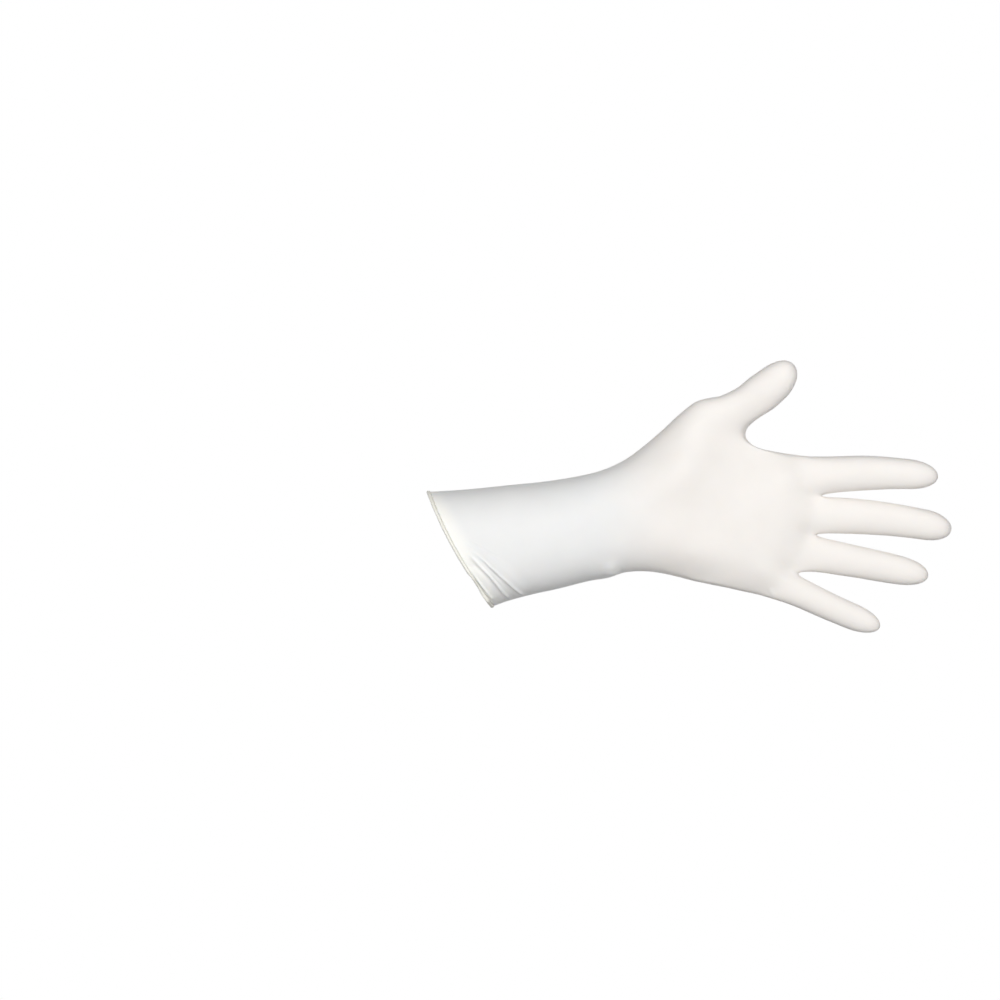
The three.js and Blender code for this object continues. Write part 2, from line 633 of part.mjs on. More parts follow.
// The film: the outer skin, the same skin one wall further in, and the edge that joins them at the rim.
function buildFilm(skin, rim) {
  const normals = skin.normals();
  const film = new Surface();
  const outer = film.add(skin.points.map((p) => p.clone()));
  const inner = film.add(skin.points.map((p, i) => p.clone().addScaledVector(normals[i], -WALL)));
  for (const [a, b, c] of skin.faces) {
    film.faces.push([outer[a], outer[b], outer[c]], [inner[a], inner[c], inner[b]]);
  }
  film.join(rim.map((i) => inner[i]), rim.map((i) => outer[i]));
  return { film, outer, inner };
}

// The rolled bead: a round tube just outside the film's edge, all the way round.
function buildBead(film, rimPairs, nextPairs) {
  const bead = new Surface();
  const radius = BEAD_DIAMETER / 2;
  const rings = rimPairs.map(([outer, inner], i) => {
    const edge = film.points[outer].clone().add(film.points[inner]).multiplyScalar(0.5);
    const [nextOuter, nextInner] = nextPairs[i];
    const inside = film.points[nextOuter].clone().add(film.points[nextInner]).multiplyScalar(0.5);
    const away = edge.clone().sub(inside).normalize();
    const out = film.points[outer].clone().sub(film.points[inner]);
    out.addScaledVector(away, -out.dot(away)).normalize();
    const centre = edge.addScaledVector(away, BEAD_GAP + radius / Math.cos(Math.PI / BEAD_SIDES));
    return bead.add(
      Array.from({ length: BEAD_SIDES }, (_, k) => {
        const angle = (2 * Math.PI * k) / BEAD_SIDES;
        return centre
          .clone()
          .addScaledVector(out, radius * Math.cos(angle))
          .addScaledVector(away, radius * Math.sin(angle));
      }),
    );
  });
  rings.forEach((ring, i) => bead.join(ring, rings[(i + 1) % rings.length]));
  return bead;
}

function meshOf(name, surface, colour, roughness) {
  const geometry = new THREE.BufferGeometry();
  const positions = surface.points.flatMap((p) => [p.x, p.y, p.z]);
  geometry.setAttribute("position", new THREE.Float32BufferAttribute(positions, 3));
  geometry.setIndex(surface.faces.flat());
  geometry.computeVertexNormals();
  const material = new THREE.MeshStandardMaterial({ color: colour, roughness, metalness: 0 });
  const mesh = new THREE.Mesh(geometry, material);
  mesh.name = name;
  return mesh;
}

const { skin, rim, next } = buildSkin();
raise(skin);
const { film, outer, inner } = buildFilm(skin, rim);
const pairs = (ring) => ring.map((i) => [outer[i], inner[i]]);
const bead = buildBead(film, pairs(rim), pairs(next));

const glove = new THREE.Group();
glove.add(meshOf("glove_film", film, SKIN_COLOUR, 0.55));
glove.add(meshOf("cuff_bead", bead, BEAD_COLOUR, 0.5));

export default glove;
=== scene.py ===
"""Long-cuff cleanroom glove for a left hand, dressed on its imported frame.

The film is one skin worked out on grids of rows and lines in millimetres: a sleeve that divides into the
thumb and the palm, and the palm into four fingers. The rolled bead follows the film's edge. Meshes are put
in metres when they become objects. +X runs to the middle fingertip, +Z to the thumb's side and -Y to the
palm's side.
"""

import logging
from dataclasses import dataclass, field
from enum import Enum

import bpy
import numpy as np
from mathutils import Matrix
from numpy.typing import NDArray


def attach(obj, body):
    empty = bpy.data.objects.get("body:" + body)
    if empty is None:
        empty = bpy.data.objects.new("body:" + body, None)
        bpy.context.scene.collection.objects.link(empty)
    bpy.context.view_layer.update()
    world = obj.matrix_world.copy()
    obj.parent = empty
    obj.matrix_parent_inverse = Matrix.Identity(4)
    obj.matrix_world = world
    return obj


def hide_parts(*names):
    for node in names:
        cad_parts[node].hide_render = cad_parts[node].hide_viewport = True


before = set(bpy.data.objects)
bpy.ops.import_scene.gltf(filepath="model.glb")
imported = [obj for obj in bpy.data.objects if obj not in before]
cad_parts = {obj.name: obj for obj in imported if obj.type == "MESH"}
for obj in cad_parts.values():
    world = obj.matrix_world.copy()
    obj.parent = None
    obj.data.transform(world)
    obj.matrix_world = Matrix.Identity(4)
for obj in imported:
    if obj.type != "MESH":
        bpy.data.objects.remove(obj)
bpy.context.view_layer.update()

Array = NDArray[np.float64]
Index = NDArray[np.int64]
Place = tuple[float, float, float]
LOG = logging.getLogger("glove")
MILLIMETRE = 0.001
PAINTED_CREST_HIGHLIGHT = "painted_crest_highlight"  # how near each point is to a crease's crest, where the film gets a painted highlight


class Side(Enum):
    """The two faces of the glove; the value is the sign of their depth."""

    PALM = -1.0
    BACK = 1.0


Rows = dict[Side, Index]


def mix(a: Array, b: Array, t: Array) -> Array:
    """The value t of the way from a to b."""
    return a + (b - a) * t


def ease(t: Array) -> Array:
    """A smooth step from 0 to 1: three t squared less two t cubed."""
    t = np.clip(t, 0.0, 1.0)
    return t * t * (3.0 - 2.0 * t)


def bell(t: Array) -> Array:
    """A Gaussian hump: e to the minus t squared."""
    return np.exp(-(t * t))


def half_turn(edge: float, arc: int, steps: Array) -> Array:
    """Angles from 0 to pi: arc even ones up to edge and as many at the end, and between them by steps."""
    first = edge * (np.arange(arc) / arc)
    return np.concatenate([first, mix(edge, np.pi - edge, steps), np.pi - first[::-1]])


def through(knots: Array, values: Array, at: Array) -> Array:
    """A smooth curve through a table's rows: cubic pieces whose slopes follow the neighbouring rows.

    Args:
        knots: Where the rows stand, rising.
        values: One row of numbers for each knot.
        at: Where the curve is wanted.

    Returns:
        One row of numbers for each entry of at.
    """
    rise = np.diff(values, axis=0)
    run = np.diff(knots)[:, None]
    slope = np.empty_like(values)
    slope[1:-1] = (values[2:] - values[:-2]) / (knots[2:] - knots[:-2])[:, None]
    slope[0] = rise[0] / run[0]
    slope[-1] = rise[-1] / run[-1]
    i = np.clip(np.searchsorted(knots, at) - 1, 0, len(knots) - 2)
    h = (knots[i + 1] - knots[i])[:, None]
    t = np.clip((at - knots[i])[:, None] / h, 0.0, 1.0)
    t2, t3 = t * t, t * t * t
    return (
        (2 * t3 - 3 * t2 + 1) * values[i]
        + (t3 - 2 * t2 + t) * h * slope[i]
        + (3 * t2 - 2 * t3) * values[i + 1]
        + (t3 - t2) * h * slope[i + 1]
    )


# Sizes in millimetres
CUFF_LENGTH = 105.0
PALM_LENGTH = 112.0
RIM_SLANT = 17.8
CUFF_WIDTH, CUFF_DEPTH = 72.3, 54.0
WRIST_WIDTH, WRIST_DEPTH = 67.0, 44.0
PALM_WIDTH, PALM_DEPTH = 84.4, 32.0
THUMB_REACH = 112.6

WEB_ANGLE = np.radians(30.0)  # the part of a finger's round section, each side, that faces its neighbour
THUMB_SHARE = 0.193
ROOT_SHARES = np.array([0.0, 0.2825, 0.549, 0.8075, 1.0])
SLEEVE_SHARES = np.concatenate([[0.0], mix(THUMB_SHARE, 1.0, ROOT_SHARES)])

SPANS = {
    "cuff": (CUFF_WIDTH, CUFF_DEPTH),
    "wrist": (WRIST_WIDTH, WRIST_DEPTH),
    "thumb": (THUMB_REACH, PALM_DEPTH),
    "palm": (PALM_WIDTH, PALM_DEPTH),
}

# Share along the stretch, span, x of the upper and lower edge (0 rim, 1 wrist, 2 index root), their
# heights, lead of the middle, half depths of the palm's side and the back, tilt, and the two edges' powers
SLANT = RIM_SLANT / CUFF_LENGTH
SLEEVE = [
    (0, "cuff", 0.011 - SLANT, 0.011 + SLANT, 0.5, -0.49, -0.028, 0.5, 0.5, 0, 2, 2.35),
    (0.092, "cuff", 0.048, 0.262, 0.504, -0.454, -0.012, 0.5, 0.5, 0, 2, 2.35),
    (0.204, "cuff", 0.286, 0.39, 0.522, -0.413, 0, 0.49, 0.49, 0, 2, 2.35),
    (0.336, "cuff", 0.543, 0.571, 0.543, -0.368, 0, 0.475, 0.475, 0, 2, 2.35),
    (0.454, "cuff", 0.762, 0.743, 0.583, -0.318, 0, 0.45, 0.45, 0, 2, 2.35),
    (0.523, "wrist", 0.876, 0.852, 0.674, -0.324, 0.005, 0.51, 0.51, 0, 2.05, 2.35),
    (0.586, "wrist", 0.981, 0.943, 0.744, -0.284, 0.018, 0.49, 0.49, 0, 2.1, 2.35),
    (0.66, "thumb", 1.08, 1.045, 0.506, -0.166, 0.045, 0.66, 0.63, 0.03, 2.15, 2.4),
    (0.753, "thumb", 1.192, 1.143, 0.592, -0.18, 0.089, 0.64, 0.57, 0.08, 2.2, 2.55),
    (0.845, "thumb", 1.304, 1.25, 0.685, -0.209, 0.152, 0.6, 0.52, 0.13, 2.25, 2.8),
    (0.914, "thumb", 1.393, 1.321, 0.741, -0.231, 0.183, 0.57, 0.5, 0.16, 2.3, 3.0),
    (1, "thumb", 1.518, 1.402, 0.762, -0.252, 0.222, 0.54, 0.48, 0.19, 2.35, 3.2),
]
PALM = [
    (0, "palm", 1.649, 1.402, 0.754, -0.3362, 0.1375, 0.54, 0.48, 0.118, 1.55, 3.2),
    (0.12, "palm", 1.651, 1.442, 0.692, -0.35, 0.1375, 0.53, 0.47, 0.1, 1.6, 3.25),
    (0.28, "palm", 1.703, 1.5, 0.635, -0.369, 0.1375, 0.5, 0.455, 0.07, 1.75, 3.25),
    (0.5, "palm", 1.799, 1.58, 0.597, -0.399, 0.1375, 0.44, 0.415, 0.04, 2, 3.1),
    (0.75, "palm", 1.899, 1.67, 0.569, -0.431, 0.1375, 0.36, 0.36, 0.015, 2.3, 2.85),
    (1, "palm", 1.99, 1.757, 0.549, -0.471, 0.1375, 0.3, 0.315, 0, 2.5, 2.5),
]


def along(x: float) -> float:
    """Millimetres along the glove: 0 is the rim's middle, 1 the wrist and 2 the index finger's root."""
    return x * CUFF_LENGTH if x < 1 else CUFF_LENGTH + (x - 1) * PALM_LENGTH


@dataclass(frozen=True)
class Finger:
    """A finger: lengths in millimetres, angles in degrees.

    bow is how far its middle bends across, curl how far its tip comes forward, and lift how far back its
    root lies. fullness is its depth over its width, tip the share of its length at which its end starts to
    close, and girth its width over its nominal one at the shares GIRTH_AT.
    """

    name: str
    length: float
    width: float
    heading: float
    bow: float
    curl: float
    lift: float
    fullness: float
    tip: float
    girth: tuple[float, ...]

    @property
    def half_depth(self) -> float:
        """Half the finger's depth at full girth."""
        return self.width / 2 * self.fullness

    @property
    def axis(self) -> Array:
        """The finger's direction in the palm's plane."""
        angle = np.radians(self.heading)
        return np.array([np.cos(angle), 0.0, np.sin(angle)])

    @property
    def across(self) -> Array:
        """The direction across the finger, towards the thumb's side."""
        angle = np.radians(self.heading)
        return np.array([-np.sin(angle), 0.0, np.cos(angle)])


GIRTH_AT = np.array([0.0, 0.25, 0.45, 0.65, 0.82, 1.0])
FINGERS = [
    Finger("thumb", 47.9, 23, 35, -1.3, 6, -6, 0.9, 0.68, (1.06, 0.99, 1.035, 0.99, 0.93, 0.93)),
    Finger("index", 74.9, 21.9, -2.9, 2, 5, -0.5, 0.88, 0.76, (1.04, 1.0, 0.96, 0.88, 0.83, 0.83)),
    Finger("middle", 82, 20.8, -9.1, 2, 6, 1, 0.88, 0.8, (1.08, 1.05, 0.995, 0.935, 0.89, 0.89)),
    Finger("ring", 75.8, 19.1, -13.8, 0.3, 7, 0.5, 0.88, 0.76, (1.1, 1.07, 1.01, 0.97, 0.9, 0.9)),
    Finger("little", 62.8, 17.2, -27, -0.9, 7, -1.5, 0.9, 0.71, (1.1, 1.02, 0.975, 0.94, 0.93, 0.93)),
]


@dataclass(frozen=True)
class Sections:
    """Cross-sections of the trunk, one a row, every size a column of millimetres."""

    top_x: Array
    bottom_x: Array
    top: Array
    bottom: Array
    lead: Array
    front: Array
    back: Array
    tilt: Array
    edge: Array
    square: Array

    def middle(self, share: Array) -> Array:
        """Points of the middle surface: a straight line down the section, bowed ahead by a parabola of
        lead, with its upper edge lowered by tilt.

        Args:
            share: Shares of the width from the upper edge, one row for each section.

        Returns:
            The points, one row for each section.
        """
        x = mix(self.top_x, self.bottom_x, share) + self.lead * 4 * share * (1 - share)
        y = -self.tilt * (1 - share) ** 2
        z = mix(self.top, self.bottom, share)
        return np.stack(np.broadcast_arrays(x, y, z), axis=-1)

    def tube(self, share: Array, side: Side) -> Array:
        """Depth of a plain tube: a superellipse of the share, whose power is edge above and square below.

        Args:
            share: Shares of the width from the upper edge.
            side: The face.

        Returns:
            Signed depths.
        """
        power = np.where(share < 0.5, self.edge, self.square)
        reach = np.maximum(0.0, 1 - np.abs(2 * share - 1) ** power) ** (1 / power)
        return side.value * reach * (self.front if side is Side.PALM else self.back)


class Trunk:
    """A stretch of the glove before it divides, given by a table of cross-sections."""

    def __init__(self, table: list[tuple], crotch: Array | None = None) -> None:
        """Sizes the table in millimetres.

        Args:
            table: The rows, in shares of their spans.
            crotch: Where the first row's upper edge is, if it is a crotch.
        """
        rows = []
        for _at, span, top_x, bottom_x, top, bottom, lead, front, back, tilt, edge, square in table:
            width, depth = SPANS[span]
            rows.append(
                (
                    along(top_x), along(bottom_x), top * width, bottom * width, lead * PALM_LENGTH,
                    front * depth, back * depth, tilt * PALM_DEPTH, edge, square,
                )
            )
        self.knots = np.array([row[0] for row in table], float)
        self.rows = np.array(rows, float)
        if crotch is not None:
            self.rows[0, 0], self.rows[0, 2] = crotch[0], crotch[2]

    def at(self, share: Array) -> Sections:
        """The cross-sections at these shares of the stretch."""
        sizes = through(self.knots, self.rows, np.atleast_1d(np.asarray(share, float)))
        return Sections(*(column[:, None] for column in sizes.T))


@dataclass(frozen=True)
class Lines:
    """Lines along a trunk on one face, from its upper edge to its lower one.

    mouth and split are their shares of the width at the mouth and where the trunk divides, angle is where
    they lie round a finger, group is which finger, and step is their share between its two crotches.
    """

    mouth: Array
    split: Array
    angle: Array
    group: Index
    step: Array

    @staticmethod
    def over(bounds: Array, arc: int, across: int) -> "Lines":
        """Places the lines: evenly round a plain tube at the mouth, and as the cosine steps of the fingers'
        round sections where it divides.

        Args:
            bounds: Shares at which the width divides, from 0 to 1.
            arc: How many lines lie in the part of the outer fingers that faces outwards.
            across: How many faces lie between two crotches.

        Returns:
            The lines.
        """
        groups = len(bounds) - 1
        count = groups * across
        c = np.arange(count + 1)
        phi = half_turn(np.pi * arc / (count + 2 * arc), arc, c / count)
        inner = np.minimum(groups - 1, c // across)
        step = (c - inner * across) / across
        group = np.concatenate([np.zeros(arc, int), inner, np.full(arc, groups - 1)])
        angle = half_turn(WEB_ANGLE, arc, step)
        first = np.where(group == 0, 1.0, np.cos(WEB_ANGLE))
        last = np.where(group == groups - 1, -1.0, -np.cos(WEB_ANGLE))
        place = (first - np.cos(angle)) / (first - last)
        split = mix(bounds[group], bounds[group + 1], place)
        steps = np.concatenate([np.zeros(arc), step, np.ones(arc)])
        return Lines((1 - np.cos(phi)) / 2, split, angle, group, steps)


class Skin:
    """Points and faces of the outer skin. Each row of rings lists a face from its upper to its lower edge,
    and the two faces share their edge points."""

    def __init__(self) -> None:
        """Starts an empty skin."""
        self.points: Array = np.empty((0, 3))
        self.quads: list[Index] = []
        self.caps: list[Index] = []

    def add(self, rows: dict[Side, Array]) -> Rows:
        """Adds rows of points.

        Args:
            rows: Points of both faces, row by row.

        Returns:
            Their numbers, row by row.
        """
        palm, inner = rows[Side.PALM], rows[Side.BACK][:, 1:-1]
        start = len(self.points)
        front = start + np.arange(palm.shape[0] * palm.shape[1]).reshape(palm.shape[:2])
        back = start + front.size + np.arange(inner.shape[0] * inner.shape[1]).reshape(inner.shape[:2])
        self.points = np.concatenate([self.points, palm.reshape(-1, 3), inner.reshape(-1, 3)])
        back = np.concatenate([front[:, :1], back, front[:, -1:]], axis=1)
        return {Side.PALM: front, Side.BACK: back}

    def weave(self, rows: Rows) -> None:
        """Joins each row to the next with four-sided faces that point outwards.

        Args:
            rows: Numbers of the points, row by row.
        """
        for side, i in rows.items():
            quads = np.stack([i[:-1, :-1], i[:-1, 1:], i[1:, 1:], i[1:, :-1]], axis=-1).reshape(-1, 4)
            self.quads.append(quads if side is Side.PALM else quads[:, ::-1])

    def close(self, row: Rows, tip: Array) -> None:
        """Closes a last ring with a fan of triangles.

        Args:
            row: Numbers of the ring's points.
            tip: The point that the triangles meet in.
        """
        loop = np.concatenate([row[Side.PALM], row[Side.BACK][-2:0:-1]])
        pole = len(self.points)
        self.points = np.concatenate([self.points, tip[None, :]])
        self.caps.append(np.stack([loop, np.roll(loop, -1), np.full(len(loop), pole)], axis=-1))

    def faces(self) -> tuple[Index, Index]:
        """All four-sided and all three-sided faces."""
        return np.concatenate(self.quads), np.concatenate(self.caps)

    def normals(self) -> Array:
        """Unit normals at the points: the sum of the normals of the faces round each, by area.

        Returns:
            One normal for each point.
        """
        quads, caps = self.faces()
        total = np.zeros_like(self.points)
        p = self.points[quads]
        n = np.cross(p[:, 2] - p[:, 0], p[:, 3] - p[:, 1])
        q = self.points[caps]
        m = np.cross(q[:, 1] - q[:, 0], q[:, 2] - q[:, 0])
        for corners, normal in ((quads, n), (caps, m)):
            for corner in corners.T:
                for axis in range(3):
                    total[:, axis] += np.bincount(corner, normal[:, axis], len(total))
        return total / np.maximum(np.linalg.norm(total, axis=1, keepdims=True), 1e-9)

    def soften(self, weight: Array, passes: int) -> None:
        """Draws points towards the middle of their neighbours.

        Args:
            weight: How far each point goes in one pass.
            passes: How often.
        """
        quads, caps = self.faces()
        sides = [quads[:, [i, (i + 1) % 4]] for i in range(4)]
        pairs = np.concatenate([*sides, caps[:, :2], caps[:, 1:]])
        pairs = np.unique(np.sort(pairs, axis=1), axis=0)
        moved = weight > 0.01
        pairs = pairs[moved[pairs].any(axis=1)]
        a = np.concatenate([pairs[:, 0], pairs[:, 1]])
        b = np.concatenate([pairs[:, 1], pairs[:, 0]])
        count = np.maximum(np.bincount(a, minlength=len(self.points)), 1)
        for _ in range(passes):
            for axis in range(3):
                mean = np.bincount(a, self.points[b, axis], len(self.points)) / count
                step = (mean - self.points[:, axis]) * weight
                self.points[moved, axis] += step[moved]


@dataclass(frozen=True)
class Web:
    """How the skin between two fingers is shaped, in millimetres.

    thinning is the share of its depth that it loses within thin_reach. Its edge is rounded by set_back at
    the half depth, within round_reach, and the whole web goes back by recess within recess_reach.
    """

    thinning: float
    thin_reach: float
    set_back: float
    half: float
    round_reach: float
    recess: float
    recess_reach: float


@dataclass(frozen=True)
class Pad:
    """A pad or a hollow of the palm or the back. Places and spreads are shares, as in the solid."""

    side: Side
    x: float
    z: float
    long: float
    short: float
    turn: float
    height: float

    def height_at(self, points: Array) -> Array:
        """Height in millimetres: a Gaussian of the two turned distances over the two spreads.

        Args:
            points: The skin's points.

        Returns:
            The heights.
        """
        angle = np.radians(self.turn)
        dx = points[:, 0] - along(self.x)
        dz = points[:, 2] - self.z * PALM_WIDTH
        u = (dx * np.cos(angle) + dz * np.sin(angle)) / (self.long * PALM_WIDTH)
        v = (dz * np.cos(angle) - dx * np.sin(angle)) / (self.short * PALM_WIDTH)
        return self.height * PALM_DEPTH * np.exp(-(u * u + v * v))


@dataclass(frozen=True)
class Fold:
    """A broad fold of the film. Places and spreads are shares, as in the solid."""

    side: Side
    x0: float
    z0: float
    x1: float
    z1: float
    sag: float
    spread: float
    height: float

    def height_at(self, points: Array) -> Array:
        """Height in millimetres: a Gaussian across a sagging line, that dies out at both ends by a sine.

        Args:
            points: The skin's points.

        Returns:
            The heights.
        """
        ax, az = along(self.x0), self.z0 * CUFF_WIDTH
        bx, bz = along(self.x1) - ax, self.z1 * CUFF_WIDTH - az
        length = np.hypot(bx, bz)
        px, pz = points[:, 0] - ax, points[:, 2] - az
        t = (px * bx + pz * bz) / length**2
        off = (px * bz - pz * bx) / length
        inside = np.clip(t, 0.0, 1.0)
        sag = -self.sag * CUFF_WIDTH * np.sin(np.pi * inside)
        ends = np.sin(np.pi * inside) ** 0.6
        return self.height * CUFF_DEPTH * ends * bell((off - sag) / (self.spread * CUFF_WIDTH))


@dataclass(frozen=True)
class Crease:
    """A narrow fold of the film along a curve through a few points, all in millimetres.

    rise is the height of its crest and dip the depth of the channel under it. fade holds the shares of its
    length over which it eases in and out. steep is the lower flank's width as a share of the upper one's,
    and margin is how far it can reach beyond its ends.
    """

    side: Side
    points: tuple[tuple[float, float], ...]
    width: float
    rise: float
    dip: float
    fade: tuple[float, float] = (0.25, 0.25)
    steep: float = 0.65
    steps: int = 80
    margin: float = 12.0

    def height_at(self, points: Array) -> tuple[Array, Array]:
        """Height in millimetres: a Gaussian crest across the curve, steeper on its lower flank, less a
        second one below it, both easing in and out along the curve.

        Args:
            points: The skin's points.

        Returns:
            The heights, and how near each point is to the crest, from 0 to 1.
        """
        knots = np.array(self.points, float)
        run = np.concatenate([[0.0], np.cumsum(np.hypot(*np.diff(knots, axis=0).T))])
        t = np.linspace(0.0, run[-1], self.steps)
        curve = through(run, knots, t)
        from_middle = np.hypot(*(points[:, [0, 2]] - knots.mean(axis=0)).T)
        hit = np.flatnonzero(from_middle < run[-1] / 2 + self.margin)
        gap = points[hit][:, None, [0, 2]] - curve[None]
        closest = np.argmin((gap**2).sum(axis=-1), axis=1)
        slope = np.gradient(curve, axis=0)
        slope /= np.linalg.norm(slope, axis=1, keepdims=True)
        away = gap[np.arange(len(hit)), closest]
        ahead = slope[closest]
        off = ahead[:, 0] * away[:, 1] - ahead[:, 1] * away[:, 0]
        past = (ahead * away).sum(axis=1)
        share = t[closest] / run[-1]
        first, last = self.fade
        ends = ease(share / first) * ease((1 - share) / last) * bell(past / (2 * self.width))
        crest = bell(off / (self.width * np.where(off > 0, 1.0, self.steep)))
        channel = self.dip * bell((off + 1.5 * self.width) / self.width)
        height, near = np.zeros(len(points)), np.zeros(len(points))
        height[hit] = ends * (self.rise * crest - channel)
        near[hit] = ends * crest * min(1.0, self.rise)
        return height, near


PADS = [
    Pad(Side.PALM, 1.3, 0.5, 0.27, 0.17, 38, 0.12),
    Pad(Side.PALM, 1.32, -0.08, 0.3, 0.15, -14, 0.07),
    Pad(Side.PALM, 1.6, 0.2, 0.24, 0.15, 60, -0.03),
    Pad(Side.PALM, 1.87, 0.4, 0.1, 0.1, 0, 0.05),
    Pad(Side.PALM, 1.74, -0.28, 0.12, 0.1, -20, 0.06),
    Pad(Side.BACK, 0.9, -0.1, 0.12, 0.1, 0, 0.08),
    Pad(Side.BACK, 1.83, 0.4, 0.1, 0.08, 0, 0.05),
    Pad(Side.BACK, 1.86, 0.14, 0.1, 0.08, 0, 0.06),
    Pad(Side.BACK, 1.8, -0.12, 0.1, 0.07, -15, 0.05),
    Pad(Side.BACK, 1.69, -0.32, 0.09, 0.07, -25, 0.05),
]
FOLDS = [
    Fold(Side.PALM, 0.06, -0.01, 0.37, -0.4, 0.02, 0.05, 0.03),
    Fold(Side.PALM, 0.04, -0.04, 0.28, -0.42, 0.03, 0.05, 0.03),
    Fold(Side.PALM, 0.055, -0.16, 0.17, -0.46, 0.04, 0.045, 0.02),
    Fold(Side.PALM, 0.84, -0.19, 0.91, -0.26, 0, 0.05, 0.025),
    Fold(Side.BACK, 0.02, 0.05, 0.33, -0.38, 0.02, 0.05, 0.03),
]
CREASES = [
    Crease(Side.PALM, ((3.9, 7.0), (11.3, 2.2), (18.2, -1.9), (26.2, -7.5)), 0.9, 0.05, 0.4),
    Crease(
        Side.PALM, ((4.0, 1.5), (13.1, -6.1), (19.4, -12.4), (25.1, -18.1), (34.0, -26.7), (39.0, -30.2)),
        1.15, 1.3, 0.8, (0.45, 0.12),
    ),
    Crease(
        Side.PALM, ((3.5, -1.2), (9.2, -8.0), (17.5, -17.2), (24.7, -26.8), (30.2, -32.0)),
        1.05, 1.0, 0.7, (0.45, 0.12),
    ),
    Crease(Side.PALM, ((9.0, -4.8), (15.3, -11.2), (21.0, -17.6), (26.5, -23.5)), 0.85, 0.35, 0.3),
    Crease(
        Side.PALM, ((6.2, -13.5), (10.6, -20.5), (14.2, -25.6), (19.0, -31.8)),
        0.85, 1.0, 0.8, (0.4, 0.12),
    ),
    Crease(
        Side.PALM, ((5.4, -15.5), (8.9, -21.8), (12.5, -27.4), (16.6, -32.8)),
        0.75, 0.8, 0.5, (0.4, 0.12),
    ),
    Crease(Side.PALM, ((86.5, -18.2), (92.0, -18.8), (98.0, -17.2)), 1.2, 0.5, 0.4),
    Crease(Side.PALM, ((187.4, -32.0), (188.6, -35.5), (190.0, -38.6)), 1.2, 0.35, 0.3),
    Crease(Side.BACK, ((4.0, 4.0), (15.0, -5.0), (26.0, -16.0), (35.0, -28.0)), 1.0, 0.6, 0.4),
    Crease(Side.BACK, ((2.0, 8.0), (14.0, 2.0), (30.0, -6.0)), 1.0, 0.4, 0.3),
]


def mesh_object(name: str, points: Array, faces: list[Index]) -> bpy.types.Object:
    """A smooth mesh object at the origin.

    Args:
        name: The piece's name.
        points: Its points in millimetres.
        faces: Arrays of faces, each with one count of corners.

    Returns:
        The object.
    """
    mesh = bpy.data.meshes.new(name)
    mesh.vertices.add(len(points))
    mesh.vertices.foreach_set("co", (points * MILLIMETRE).astype(np.float32).ravel())
    corners = np.concatenate([face.ravel() for face in faces])
    sizes = np.concatenate([np.full(len(face), face.shape[1]) for face in faces])
    starts = np.concatenate([[0], np.cumsum(sizes)[:-1]])
    mesh.loops.add(len(corners))
    mesh.loops.foreach_set("vertex_index", corners.astype(np.int32))
    mesh.polygons.add(len(sizes))
    mesh.polygons.foreach_set("loop_start", starts.astype(np.int32))
    mesh.polygons.foreach_set("use_smooth", np.ones(len(sizes), bool))
    mesh.update(calc_edges=True)
    mesh.validate()
    piece = bpy.data.objects.new(name, mesh)
    bpy.context.scene.collection.objects.link(piece)
    return piece


def linear(colour: str) -> tuple[float, float, float, float]:
    """Turns an sRGB hex colour into linear light.

    Args:
        colour: Six hex digits after a hash sign.

    Returns:
        Red, green, blue and an alpha of 1.
    """
    parts = [int(colour[i : i + 2], 16) / 255 for i in (1, 3, 5)]
    red, green, blue = (c / 12.92 if c <= 0.04045 else ((c + 0.055) / 1.055) ** 2.4 for c in parts)
    return red, green, blue, 1.0


def add_node(
    tree: bpy.types.NodeTree, kind: str, settings: dict[str, object] | None = None, **inputs: object
) -> bpy.types.Node:
    """Adds a node with its settings and links.

    Args:
        tree: The node tree.
        kind: The node's type.
        settings: Values of the node's own properties.
        **inputs: Values or output sockets, by the input's name with underscores for spaces, or by i and
            the input's number.

    Returns:
        The node.
    """
    node = tree.nodes.new(kind)
    for key, value in (settings or {}).items():
        setattr(node, key, value)
    for key, value in inputs.items():
        number = key[1:] if key[0] == "i" and key[1:].isdigit() else None
        socket = node.inputs[int(number)] if number else node.inputs[key.replace("_", " ")]
        if isinstance(value, bpy.types.NodeSocket):
            tree.links.new(value, socket)
        else:
            socket.default_value = value
    return node


def new_material(name: str) -> tuple[bpy.types.Material, bpy.types.NodeTree, bpy.types.Node]:
    """Makes an empty material.

    Args:
        name: Its name.

    Returns:
        The material, its node tree and its output node.
    """
    material = bpy.data.materials.new(name)
    material.use_nodes = True
    material.node_tree.nodes.clear()
    output = material.node_tree.nodes.new("ShaderNodeOutputMaterial")
    return material, material.node_tree, output


